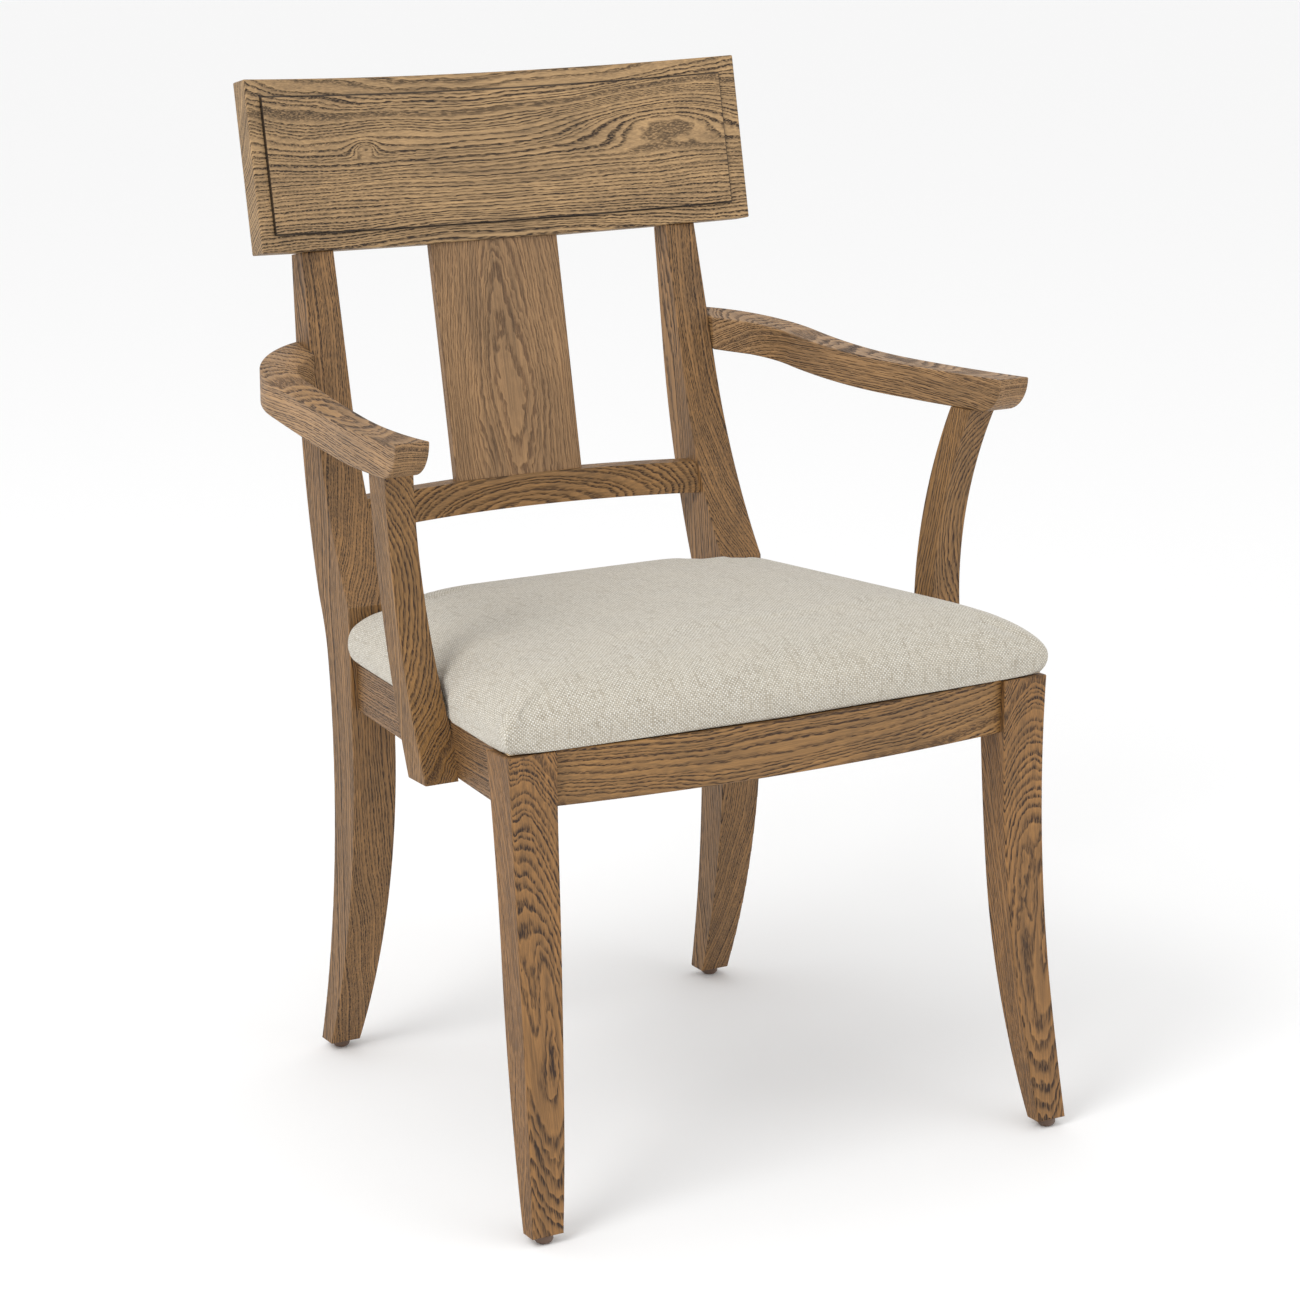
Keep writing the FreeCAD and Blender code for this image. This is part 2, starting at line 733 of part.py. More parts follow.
def side_rail(name, side):
    front, back = LEG_BACK - S["rail_thickness"], CREASE + S["rail_thickness"]
    plan = [(side_rail_x(front), front), (side_rail_x(back), back),
            (side_rail_x(back, SIDE_THICK), back), (side_rail_x(front, SIDE_THICK), front)]
    stile_at_seat = CREASE - STILE_SLOPE * S["crease_rise"]
    profile = rail_profile(LEG_BACK, stile_at_seat, LEG_BACK_SLOPE, STILE_SLOPE)
    body = member(name, ("XY_Plane", *mirrored(plan, {}, side)), ("YZ_Plane", profile, {}))
    ease(body, S["seat_depth"] / 2)
    return body


def rear_rail():
    plan = [(-STILE_INNER, REAR_RAIL_FRONT), (STILE_INNER, REAR_RAIL_FRONT),
            (STILE_INNER, REAR_RAIL_BACK), (-STILE_INNER, REAR_RAIL_BACK)]
    margin = S["rail_thickness"]
    profile = rail_profile(REAR_RAIL_FRONT - margin, REAR_RAIL_BACK + margin)
    body = member("rear_rail", ("XY_Plane", plan, {}), ("YZ_Plane", profile, {}))
    ease(body, STILE_INNER)
    return body


def corner_block(name, side, at_front):
    """A glued block in a corner of the seat frame, notched round the leg."""
    reach = S["block_reach"]
    if at_front:
        thick = S["rail_thickness"]
        tip = LEG_INNER - reach
        notch_x, notch_y = LEG_INNER - S["fit"], LEG_BACK + S["fit"]
        tail = LEG_BACK + reach
        plan = [(tip, front_rail_y(tip, thick)), (notch_x, front_rail_y(notch_x, thick)), (notch_x, notch_y),
                (side_rail_x(notch_y, SIDE_THICK), notch_y), (side_rail_x(tail, SIDE_THICK), tail)]
        top = seat_z(tail, S["block_drop"])
    else:
        tip = STILE_INNER - reach
        notch_x, notch_y = STILE_INNER - S["fit"], KNEE_Y - S["fit"]
        tail = KNEE_Y - reach
        plan = [(tip, REAR_RAIL_FRONT), (notch_x, REAR_RAIL_FRONT), (notch_x, notch_y),
                (side_rail_x(notch_y, SIDE_THICK), notch_y), (side_rail_x(tail, SIDE_THICK), tail)]
        top = seat_z(REAR_RAIL_FRONT, S["block_drop"])
    body = new_body(name)
    points, arcs = mirrored(plan, {}, side)
    outline = sketch(body, "Plan", "XY_Plane", [(points, arcs)], up=top - S["block_height"])
    pad(body, outline, S["block_height"])
    ease(body, reach)
    return body


# ---------------------------------------------------------------- arms and their supports

ARM_LOW_Y = FRONT + S["arm_low_point"]
ARM_TOP = S["seat_height"] + S["arm_rise"]
ARM_NOSE = FRONT + S["arm_front"]
ARM_UNDER_SWEEP = S["arm_front_sweep"] + S["arm_thickness"]


def arm_under(y):
    """Underside of an arm ahead of its lowest point."""
    return ARM_TOP - S["arm_thickness"] + sag(ARM_UNDER_SWEEP, ARM_LOW_Y - y)


def arm(name, side):
    thick = S["arm_thickness"]
    heel = ARM_NOSE + S["arm_nose_back"]
    tail = CREASE + S["arm_root_back"] + S["arm_thickness"]
    rear_rise = sag(S["arm_rear_sweep"], tail - ARM_LOW_Y)
    rear_rise_under = sag(S["arm_rear_sweep"] + thick, tail - ARM_LOW_Y)
    profile = [(ARM_LOW_Y, ARM_TOP), (ARM_NOSE, ARM_TOP + sag(S["arm_front_sweep"], ARM_LOW_Y - ARM_NOSE)),
               (heel, arm_under(heel)), (ARM_LOW_Y, ARM_TOP - thick),
               (tail, ARM_TOP - thick + rear_rise_under), (tail, ARM_TOP + rear_rise)]
    bends = {0: -S["arm_front_sweep"], 1: S["arm_nose_bow"], 2: ARM_UNDER_SWEEP,
             3: S["arm_rear_sweep"] + thick, 5: -S["arm_rear_sweep"]}
    width = S["arm_width"]
    root_x = S["stile_top_half"]
    plan = [(S["arm_front_half"], ARM_NOSE - PAST), (S["arm_waist_half"], FRONT + S["arm_waist"]),
            (S["arm_elbow_half"], CREASE + S["arm_elbow"]), (root_x, CREASE + S["arm_root_back"]),
            (root_x, CREASE + S["arm_root_front"]), (S["arm_bend_half"], CREASE + S["arm_bend"]),
            (S["arm_inner_elbow_half"], CREASE + S["arm_inner_elbow"]),
            (S["arm_waist_half"] - width, FRONT + S["arm_waist"]),
            (S["arm_front_half"] - width, ARM_NOSE - PAST)]
    curves = {0: S["arm_front_bow"], 1: -S["arm_waist_bow"], 2: S["arm_elbow_bow"],
              5: -S["arm_inner_bow"], 6: S["arm_waist_bow"], 7: -(S["arm_front_bow"] - width)}
    body = member(name, ("YZ_Plane", profile, bends), ("XY_Plane", *mirrored(plan, curves, side)))
    low, high = ARM_TOP - thick * 2, ARM_TOP + thick * 3
    wedge = [(0, low), (stile_face_x(low), low), (stile_face_x(high), high), (0, high)]
    cut_through(body, "XZ_Plane", [mirrored(wedge, {}, side)])
    ease(body, S["arm_width"] / 2)
    return body


SUPPORT_FOOT_Y = FRONT + S["support_foot"]
SUPPORT_FOOT_Z = seat_z(SUPPORT_FOOT_Y, S["rail_height"] + S["support_drop"])
SUPPORT_TOP_Y = FRONT + S["support_top"]
SUPPORT_TOP_Z = arm_under(SUPPORT_TOP_Y)


def bowed(z, foot, top, radius):
    """Place along a bowed edge of a support at this height."""
    height = SUPPORT_TOP_Z - SUPPORT_FOOT_Z
    up = (z - SUPPORT_FOOT_Z) / height
    return foot + (top - foot) * up + height * height / (2 * radius) * up * (1 - up)


def support_inner_x(z):
    return bowed(z, S["support_foot_half"] - S["support_foot_width"],
                 S["support_top_half"] - S["support_top_width"], -S["support_inner_bow"])


def arm_support(name, side):
    foot_z = SUPPORT_FOOT_Z
    foot_back, top_back = SUPPORT_FOOT_Y + S["support_foot_depth"], SUPPORT_TOP_Y + S["support_top_depth"]
    profile = [(SUPPORT_FOOT_Y, foot_z), (foot_back, foot_z), (top_back, arm_under(top_back)),
               (SUPPORT_TOP_Y, SUPPORT_TOP_Z)]
    bends = {1: S["support_back_bow"], 2: -ARM_UNDER_SWEEP, 3: -S["support_front_bow"]}
    peak = SUPPORT_TOP_Z + OVERLAP
    face = [(S["support_foot_half"] - S["support_foot_width"], foot_z), (S["support_foot_half"], foot_z),
            (S["support_top_half"], peak), (S["support_top_half"] - S["support_top_width"], peak)]
    curves = {1: -S["support_outer_bow"], 3: S["support_inner_bow"]}
    body = member(name, ("YZ_Plane", profile, bends), ("XZ_Plane", *mirrored(face, curves, side)))
    front, back = SUPPORT_FOOT_Y - S["rail_thickness"], foot_back + S["rail_thickness"]
    beside_rail = [(0, front), (side_rail_x(front), front), (side_rail_x(back), back), (0, back)]
    cut_through(body, "XY_Plane", [mirrored(beside_rail, {}, side)])
    ease(body, (SUPPORT_TOP_Z - SUPPORT_FOOT_Z) / 2)
    return body


# ---------------------------------------------------------------- fastenings

class Fixings:
    """Identical fasteners that share one node, and the holes they need."""

    def __init__(self, name):
        self.name = name
        self.rods = []

    def hole(self, at, axis, length, width):
        """A hole along a fastener, deeper than it at both ends."""
        start = back_off(at, axis, S["hole_spare"])
        return rod(start, axis, length + S["hole_spare"] * 2, width + S["fit"] * 2)

    def dowel(self, at, axis, length):
        self.rods.append(rod(at, axis, length, S["dowel"]))
        return self.hole(at, axis, length, S["dowel"])

    def screw(self, at, axis, length, pocket=S["hole_spare"]):
        """A screw from its head; the head is sunk flush, or at the bottom of a pocket."""
        head = rod(at, axis, S["screw_head_height"], S["screw_head"])
        self.rods.append(joined("Screw", [head, rod(at, axis, length, S["screw"])]))
        sink = rod(back_off(at, axis, pocket), axis,
                   S["screw_head_height"] + pocket, S["screw_head"] + S["fit"] * 2)
        return joined("Screw_hole", [sink, self.hole(at, axis, length, S["screw"])])

    def nail(self, x, y):
        """A glide's nail, from inside the glide up into the foot."""
        at = (x, y, S["glide_height"])
        self.rods.append(rod(at, "z", S["glide_nail_length"], S["glide_nail"]))
        return self.hole(at, "z", S["glide_nail_length"], S["glide_nail"])

    def finish(self):
        pieces[self.name] = group(self.name, self.rods)
        pieces[self.name].Label = self.name


def back_off(at, axis, distance):
    """A point moved back along an axis."""
    step = distance if axis.startswith("-") else -distance
    return tuple(dim(size) + step if letter == axis[-1] else dim(size) for letter, size in zip("xyz", at))


def signed(side, letter):
    return letter if side > 0 else "-" + letter


# ---------------------------------------------------------------- seat, in the axes of the seat frame's top

# how the pad swells: height above the frame, and inset from its lower edge
SEAT_LEVELS = ((8.0, -3.0), (19.0, -4.0), (28.0, -1.0), (38.0, 8.0), (48.0, 24.0), (57.0, 50.0), (64.0, 90.0))
SEAT_TOP_INSET = 150.0
SEAT_BACK = S["seat_depth"] + S["seat_back_reach"]


def seat_outline(inset):
    """The seat in plan at some inset from its lower edge; y runs back from the front leg faces."""
    front, back = S["seat_front_reach"] + inset, SEAT_BACK - inset
    slope = (S["seat_front_half"] - S["seat_rear_half"]) / SEAT_BACK
    front_x, back_x = (S["seat_front_half"] - slope * y - inset for y in (front, back))
    bow = chord_bow(S["seat_front_bow"] * front_x / S["seat_front_half"], front_x)
    points = [(-front_x, front), (front_x, front), (back_x, back), (-back_x, back)]
    return points, {0: bow}


def tilt_to_seat(thing, at):
    """Stands a thing on the seat frame's top, with y along it; at is in the seat's axes."""
    across, along, up = (dim(size) for size in at)
    run, drop = cosine(S["seat_slope"]), sine(S["seat_slope"])
    thing.Placement.Rotation = Rotation(Vector(-1, 0, 0), 1)
    bind(thing, "Placement.Rotation.Angle", S["seat_slope"])
    place(thing, (across, FRONT + along * run + up * drop, S["seat_height"] - along * drop + up * run))
    return thing


def seat_brick(low, high):
    return tilt_to_seat(brick(low, high), low)


def crowned(name, grow, base):
    """A crowned pad on the seat frame, grown all over from the foam's own size."""
    body = new_body(name)
    drawings = [sketch(body, "Base", "XY_Plane", [seat_outline(-grow)], up=base)]
    for up, inset in (*SEAT_LEVELS, (S["seat_crown"], SEAT_TOP_INSET)):
        drawings.append(sketch(body, "Level", "XY_Plane", [seat_outline(inset - grow)], up=up + grow))
    loft = body.newObject("PartDesign::AdditiveLoft", "Crown")
    loft.Profile = drawings[0]
    loft.Sections = drawings[1:]
    tilt_to_seat(body, (0, 0, 0))
    return body


def seat_notches(shrink):
    """Clearances round the stiles and the arm supports."""
    clear = S["seat_clear"] + shrink
    high = S["seat_crown"] * 2
    low = -S["seat_clear"]
    out = S["seat_front_half"] + S["rail_thickness"]
    stile = S["seat_depth"] - S["rear_knee_step"] - clear
    at_top = S["seat_height"] + S["seat_crown"]
    support_front = bowed(S["seat_height"], SUPPORT_FOOT_Y, SUPPORT_TOP_Y, S["support_front_bow"])
    support_back = bowed(at_top, SUPPORT_FOOT_Y + S["support_foot_depth"],
                         SUPPORT_TOP_Y + S["support_top_depth"], S["support_back_bow"])
    reach = support_front - FRONT - clear, support_back - FRONT + clear
    inner = support_inner_x(seat_z(support_back)) - clear
    bricks = []
    for side in SIDES.values():
        for start, inside, end in ((stile, STILE_INNER - clear, SEAT_BACK + out), (reach[0], inner, reach[1])):
            across = sorted((side * inside, side * out), key=lambda size: size.value)
            bricks.append(seat_brick((across[0], start, low), (across[1], end, high)))
    return bricks


def seat(staples, screw_holes):
    cover, board = S["cover_thickness"], S["board_thickness"]
    blank = new_body("board")
    pad(blank, sketch(blank, "Plan", "XY_Plane", [seat_outline(S["board_inset"])], up=cover), board)
    tilt_to_seat(blank, (0, 0, 0))
    piece("seat_board", blank, cut=[*seat_notches(S["board_inset"]), *screw_holes, staples])
    wide = S["seat_front_half"] * 2
    below = seat_brick((-wide, -wide, -board), (wide, wide * 2, cover + board))
    piece("seat_foam", crowned("foam", -S["foam_clear"], cover),
          cut=[*seat_notches(cover + S["foam_clear"]), below])
    inside = shaped("cover_inside", crowned("cover_core", dim(0), cover), cut=seat_notches(cover))
    turn = S["cover_turn"]
    window = new_body("window")
    pad(window, sketch(window, "Window", "XY_Plane", [seat_outline(turn)]), cover * 2)
    tilt_to_seat(window, (0, 0, -cover / 2))
    piece("seat_cover", crowned("cover", cover, dim(0)), cut=[*seat_notches(dim(0)), inside, window, staples])
    dust = new_body("dust")
    top = cover - S["dust_thickness"]
    plan = seat_outline(turn + S["seat_clear"])
    pad(dust, sketch(dust, "Plan", "XY_Plane", [plan], up=top), S["dust_thickness"])
    tilt_to_seat(dust, (0, 0, 0))
    piece("dust_cover", dust, cut=screw_holes)


def staple(at, across):
    """A staple pressed up through the turned-in cover; its crown lies across or along the seat."""
    x, y, up = (dim(size) for size in at)
    length, wire = S["staple_length"], S["staple_wire"]
    leg = S["cover_thickness"] + S["staple_leg"]
    half, thin = length / 2, wire / 2
    wide, deep = (half, thin) if across else (thin, half)
    crown = seat_brick((x - wide, y - deep, up - wire), (x + wide, y + deep, up))
    legs = []
    for end in (-1, 1):
        shift = (half - thin) * end
        mid = (x + shift, y) if across else (x, y + shift)
        low, high = ([size + thin * sign for size in mid] for sign in (-1, 1))
        legs.append(seat_brick((*low, up - thin), (*high, up + leg)))
    return joined("Staple", [crown, *legs])


def cover_staples():
    """A row of staples inside each rail."""
    inset = S["staple_inset"]
    bow = chord_bow(S["seat_front_bow"], S["seat_front_half"])
    front = S["seat_front_reach"] + inset - S["seat_front_bow"]
    rows = []
    for i in range(FRONT_STAPLES):
        x = S["staple_spacing"] * (i - (FRONT_STAPLES - 1) / 2)
        rows.append(staple((x, front + sag(bow, x), 0), True))
    for i in range(REAR_STAPLES):
        x = S["staple_spacing"] * (i - (REAR_STAPLES - 1) / 2)
        rows.append(staple((x, SEAT_BACK - S["rear_staple_inset"], 0), True))
    first = S["front_leg_depth"] + S["side_staple_inset"]
    spacing = (S["seat_depth"] - S["side_staple_inset"] - first) / (SIDE_STAPLES - 1)
    for side in SIDES.values():
        for i in range(SIDE_STAPLES):
            along = first + spacing * i
            x = side_rail_x(FRONT + along, S["rail_thickness"] + S["staple_clear"])
            rows.append(staple((side * x, along, 0), False))
    return rows


# ---------------------------------------------------------------- glides

def glide(name, x, y):
    """A domed glide under a foot, nailed up into it."""
    body = new_body(name)
    half, crown, height = S["glide_width"] / 2, S["glide_crown"], S["glide_height"]
    points = [(0, 0), (crown, 0), (half, height / 2), (half, height), (0, height)]
    drawing = sketch(body, "Profile", "XZ_Plane", [(points, {1: S["glide_dome"]})])
    turned = body.newObject("PartDesign::Revolution", "Dome")
    turned.Profile = drawing
    turned.ReferenceAxis = (drawing, ["V_Axis"])
    turned.Angle = 360
    place(body, (x, y, 0))
    pieces[name] = body
    body.Label = name


# ---------------------------------------------------------------- assembly

DOWELLED = ("front_rail", "side_rail", "rear_rail", "arm")
dowels = {joint: Fixings(joint + "_dowels") for joint in DOWELLED}
block_screws = Fixings("corner_block_screws")
support_screws = Fixings("arm_support_screws")
seat_screws = Fixings("seat_screws")
glide_nails = Fixings("glide_nails")
seat_holes = []
crest_mortises = [splat_tongue_top(S["fit"])]
front_rail_holes = []
rear_rail_holes = []
DOWEL_HALF = S["dowel_length"] / 2
# four levels down a rail: the dowels across the chair take two of them, those along it the other two
LEVELS = [S["dowel_edge"] + (S["rail_height"] - 2 * S["dowel_edge"]) / 3 * i for i in range(4)]
ACROSS = LEVELS[0::2]
ALONG = LEVELS[1::2]

for word, side in SIDES.items():
    leg_holes = []
    stile_holes = [rail_tenon(side, S["fit"])]
    side_rail_holes = []
    # dowels of the front and rear rails run across, those of the side rails along the chair
    for drop in ACROSS:
        y = front_rail_y(LEG_INNER, S["rail_thickness"] / 2)
        hole = dowels["front_rail"].dowel(
            (side * (LEG_INNER - DOWEL_HALF), y, seat_z(y, drop)), signed(side, "x"), S["dowel_length"])
        leg_holes.append(hole)
        front_rail_holes.append(hole)
        y = REAR_RAIL_FRONT + S["rail_thickness"] / 2
        hole = dowels["rear_rail"].dowel(
            (side * (STILE_INNER - DOWEL_HALF), y, seat_z(y, drop)), signed(side, "x"), S["dowel_length"])
        stile_holes.append(hole)
        rear_rail_holes.append(hole)
    for drop in ALONG:
        for holes, y in ((leg_holes, LEG_BACK), (stile_holes, KNEE_Y)):
            x = side_rail_x(y, SIDE_THICK / 2)
            hole = dowels["side_rail"].dowel(
                (side * x, y - DOWEL_HALF, seat_z(y, drop)), "y", S["dowel_length"])
            holes.append(hole)
            side_rail_holes.append(hole)

    # arm and support
    arm_holes = []
    support_holes = []
    reach = S["arm_dowel_length"]
    for step in (-1, 1):
        y = CREASE + S["arm_root_front"] + S["arm_dowel_edge"] + S["arm_dowel_spacing"] / 2 * (1 + step)
        z = ARM_TOP + S["arm_dowel_rise"] + S["arm_dowel_step"] / 2 * step
        x = side * (stile_face_x(z) - reach / 2)
        hole = dowels["arm"].dowel((x, y, z), signed(side, "x"), reach)
        stile_holes.append(hole)
        arm_holes.append(hole)
        y = SUPPORT_TOP_Y + S["support_top_depth"] / 2 + S["arm_dowel_spacing"] / 2 * step
        x = side * (S["support_top_half"] - S["support_top_width"] / 2)
        hole = dowels["arm"].dowel((x, y, SUPPORT_TOP_Z - reach / 2), "z", reach)
        support_holes.append(hole)
        arm_holes.append(hole)
    for drop, level in ((LEVELS[0], "upper"), (LEVELS[-1], "lower")):
        y = SUPPORT_FOOT_Y + S[f"{level}_support_screw_back"]
        x = side * side_rail_x(y, SIDE_THICK)
        hole = support_screws.screw((x, y, seat_z(y, drop)), signed(side, "x"), S["support_screw_length"])
        side_rail_holes.append(hole)
        support_holes.append(hole)

    # corner blocks, each screwed to both rails, and the seat screwed down through them
    for end in ("front", "rear"):
        at_front = end == "front"
        name = f"{end}_corner_block_{word}"
        blank = corner_block(name + "_body", side, at_front)
        if at_front:
            corner_x, corner_y, inward = LEG_INNER, LEG_BACK, 1
            top = seat_z(LEG_BACK + S["block_reach"], S["block_drop"])
            cross_axis, cross_holes = "-y", front_rail_holes
        else:
            corner_x, corner_y, inward = STILE_INNER, KNEE_Y, -1
            top = seat_z(REAR_RAIL_FRONT, S["block_drop"])
            cross_axis, cross_holes = "y", rear_rail_holes
        reach, screw_back = S["block_screw_reach"], S[f"{end}_block_screw_back"]
        cross = (corner_x - reach, corner_y + screw_back * inward, cross_axis, cross_holes)
        along = (corner_x - S["block_screw_in"], corner_y + reach * inward, signed(side, "x"), side_rail_holes)
        block_holes = []
        for x, y, axis, rail_holes in (cross, along):
            hole = block_screws.screw(
                (side * x, y, top - S["block_height"] / 2), axis, S["block_screw_length"], S["block_pocket"])
            block_holes.append(hole)
            rail_holes.append(hole)
        x, y = corner_x - S["seat_screw_in"], corner_y + S[f"{end}_seat_screw_back"] * inward
        hole = seat_screws.screw((side * x, y, top - S["block_height"]), "z", S["seat_screw_length"])
        block_holes.append(hole)
        seat_holes.append(hole)
        piece(name, blank, cut=block_holes)

    # legs, with a glide under each
    for end in ("front", "rear"):
        if end == "front":
            x = S["front_half"] + S["front_foot_splay"] - S["front_foot_width"] / 2
            y = FRONT - S["front_foot_reach"] + S["front_foot_depth"] / 2
            holes, blank = leg_holes, front_leg("front_leg_body", side)
            tenons = []
        else:
            x = S["rear_half"] - (S["rear_leg_width"] - S["rear_foot_inset"]) / 2
            y = CREASE + S["rear_foot_back"] + S["rear_foot_depth"] / 2
            holes, blank = stile_holes, rear_leg("rear_leg_body", side)
            tenons = [stile_tenon(side, dim(0))]
            crest_mortises.append(stile_tenon(side, S["fit"]))
        glide(f"{end}_glide_{word}", side * x, y)
        holes.append(glide_nails.nail(side * x, y))
        piece(f"{end}_leg_{word}", blank, add=tenons, cut=holes)

    piece(f"side_seat_rail_{word}", side_rail("side_rail_body", side), cut=side_rail_holes)
    piece(f"arm_{word}", arm("arm_body", side), cut=arm_holes)
    piece(f"arm_support_{word}", arm_support("support_body", side), cut=support_holes)

piece("crest_rail", crest_board(), cut=crest_mortises)
piece("back_splat", splat_board(), add=[splat_tongue_top(dim(0)), splat_tongue_bottom(dim(0))])
piece("lower_back_rail", lower_rail(), add=[rail_tenon(side, dim(0)) for side in SIDES.values()],
      cut=[splat_tongue_bottom(S["fit"])])
piece("front_seat_rail", front_rail(), cut=front_rail_holes)
piece("rear_seat_rail", rear_rail(), cut=rear_rail_holes)
staples = group("cover_staples", cover_staples())
pieces["cover_staples"] = staples
seat(staples, seat_holes)
for fixings in (*dowels.values(), block_screws, support_screws, seat_screws, glide_nails):
    fixings.finish()


# ---------------------------------------------------------------- checks and output

doc.recompute()
failed = [thing.Label for thing in doc.Objects if {"Invalid", "Error"} & set(thing.State)]
for name, thing in pieces.items():
    shape = thing.Shape
    if shape.isNull() or not shape.isValid() or not shape.Solids:
        failed.append(name)
if failed:
    raise RuntimeError(f"these did not build: {sorted(set(failed))}")
os.makedirs("parts", exist_ok=True)
for name, thing in sorted(pieces.items()):
    thing.Shape.exportStep(f"parts/{name}.step")
    print(name, len(thing.Shape.Solids), round(thing.Shape.Volume))
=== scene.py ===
import math

import bmesh
import bpy
from mathutils import Matrix, Vector


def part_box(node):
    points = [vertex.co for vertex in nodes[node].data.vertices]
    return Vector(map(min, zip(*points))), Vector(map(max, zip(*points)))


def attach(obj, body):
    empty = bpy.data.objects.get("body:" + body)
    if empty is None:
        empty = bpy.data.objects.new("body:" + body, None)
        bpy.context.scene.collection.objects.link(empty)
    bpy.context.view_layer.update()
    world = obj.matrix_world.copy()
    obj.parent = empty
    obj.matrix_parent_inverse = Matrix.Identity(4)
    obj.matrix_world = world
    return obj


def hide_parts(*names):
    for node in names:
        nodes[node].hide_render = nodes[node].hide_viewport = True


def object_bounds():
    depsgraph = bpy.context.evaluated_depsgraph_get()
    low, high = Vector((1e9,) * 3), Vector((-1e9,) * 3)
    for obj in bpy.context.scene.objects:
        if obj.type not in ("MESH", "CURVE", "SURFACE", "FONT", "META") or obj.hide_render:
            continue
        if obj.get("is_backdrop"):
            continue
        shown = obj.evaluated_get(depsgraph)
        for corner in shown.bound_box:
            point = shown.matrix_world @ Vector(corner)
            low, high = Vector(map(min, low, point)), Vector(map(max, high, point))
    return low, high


# The looks of a klismos armchair: wire-brushed brown oak, a padded seat in heathered linen cloth, and the
# fixings underneath. Metres, in the frame's own axes: +X is to the right from the front, the front faces -Y.

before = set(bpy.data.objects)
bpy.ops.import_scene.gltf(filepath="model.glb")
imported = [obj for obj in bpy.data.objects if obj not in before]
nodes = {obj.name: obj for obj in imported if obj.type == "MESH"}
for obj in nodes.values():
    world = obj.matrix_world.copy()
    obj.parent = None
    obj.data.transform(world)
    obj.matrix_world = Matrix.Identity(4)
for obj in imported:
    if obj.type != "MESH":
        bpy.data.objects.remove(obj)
cad_low, cad_high = (Vector(corner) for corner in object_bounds())
MM = 0.001
SIDES = {"left": -1, "right": 1}


# ---------------------------------------------------------------- materials: helpers

def linear(hex_colour):
    """An sRGB hex colour as the linear colour that shaders read."""
    channels = [int(hex_colour[i:i + 2], 16) / 255 for i in (1, 3, 5)]
    return [c / 12.92 if c <= 0.04045 else ((c + 0.055) / 1.055) ** 2.4 for c in channels] + [1.0]


def add(tree, kind, inputs=None, **settings):
    """Adds a node: settings are its properties; an input is given a value, or a socket that feeds it."""
    made = tree.nodes.new(kind)
    for name, value in settings.items():
        setattr(made, name, value)
    for key, value in (inputs or {}).items():
        if isinstance(value, bpy.types.NodeSocket):
            tree.links.new(value, made.inputs[key])
        else:
            made.inputs[key].default_value = value
    return made


def new_material(name):
    """An empty material with a principled shader; returns it, its tree and the shader."""
    material = bpy.data.materials.new(name)
    material.use_nodes = True
    tree = material.node_tree
    tree.nodes.clear()
    shader = add(tree, "ShaderNodeBsdfPrincipled")
    add(tree, "ShaderNodeOutputMaterial", {"Surface": shader.outputs["BSDF"]})
    return material, tree, shader


def blend(tree, factor, first, second, mode="MIX"):
    """A colour between two others."""
    mixer = add(tree, "ShaderNodeMix", {0: factor, 6: first, 7: second}, data_type="RGBA", blend_type=mode)
    return mixer.outputs[2]


def sum_of(tree, operation, first, second=0.0, third=0.0, clamp=False):
    """One step of arithmetic."""
    step = add(tree, "ShaderNodeMath", {0: first, 1: second, 2: third}, operation=operation, use_clamp=clamp)
    return step.outputs[0]


def vector_sum(tree, operation, first, second):
    """One step of arithmetic on a point or a direction."""
    return add(tree, "ShaderNodeVectorMath", {0: first, 1: second}, operation=operation).outputs[0]


def dot_product(tree, first, second):
    """How far two directions agree."""
    return add(tree, "ShaderNodeVectorMath", {0: first, 1: second}, operation="DOT_PRODUCT").outputs["Value"]


def ramp(tree, value, low, high, to_low=0.0, to_high=1.0):
    """A smooth step from one value to another."""
    step = add(tree, "ShaderNodeMapRange",
               {"Value": value, "From Min": low, "From Max": high, "To Min": to_low, "To Max": to_high},
               interpolation_type="SMOOTHSTEP")
    return step.outputs["Result"]


def object_place(tree, turn=(0, 0, 0), origin=(0, 0, 0)):
    """A point of the piece in millimetres, in axes that may be turned and start elsewhere."""
    spot = add(tree, "ShaderNodeTexCoord").outputs["Object"]
    return add(tree, "ShaderNodeMapping",
               {"Vector": spot, "Location": origin, "Rotation": turn, "Scale": (MM, MM, MM)},
               vector_type="TEXTURE").outputs[0]


def relief(tree, shader, height, depth):
    """Raises the surface by a pattern whose highest points stand so many millimetres proud."""
    bump = add(tree, "ShaderNodeBump", {"Height": height, "Distance": depth * MM})
    tree.links.new(bump.outputs["Normal"], shader.inputs["Normal"])


# ---------------------------------------------------------------- materials: oak

# Everything in the figure of the wood is in millimetres, in the board's own axes: X across the board,
# Y from its face towards the heart of the tree, Z along the grain.
WAVE = 7.0                # slow wander of the rings
WAVE_ACROSS = 45.0
WAVE_ALONG = 170.0
RIPPLE = 0.9              # small zigzag of the rings
RIPPLE_ACROSS = 5.5
RIPPLE_ALONG = 11.0
PORE_WIDTH = 0.8          # oak's pores are about 0.3 mm wide; drawn wider so that they show
PORE_LENGTH = 11.0
FIBRE_WIDTH = 1.1
FIBRE_LENGTH = 55.0
STREAK_WIDTH = 4.2        # broad streaks, which show on the faces that stand across the rings
STREAK_LENGTH = 150.0
STAIN_ACROSS = 30.0
STAIN_ALONG = 130.0


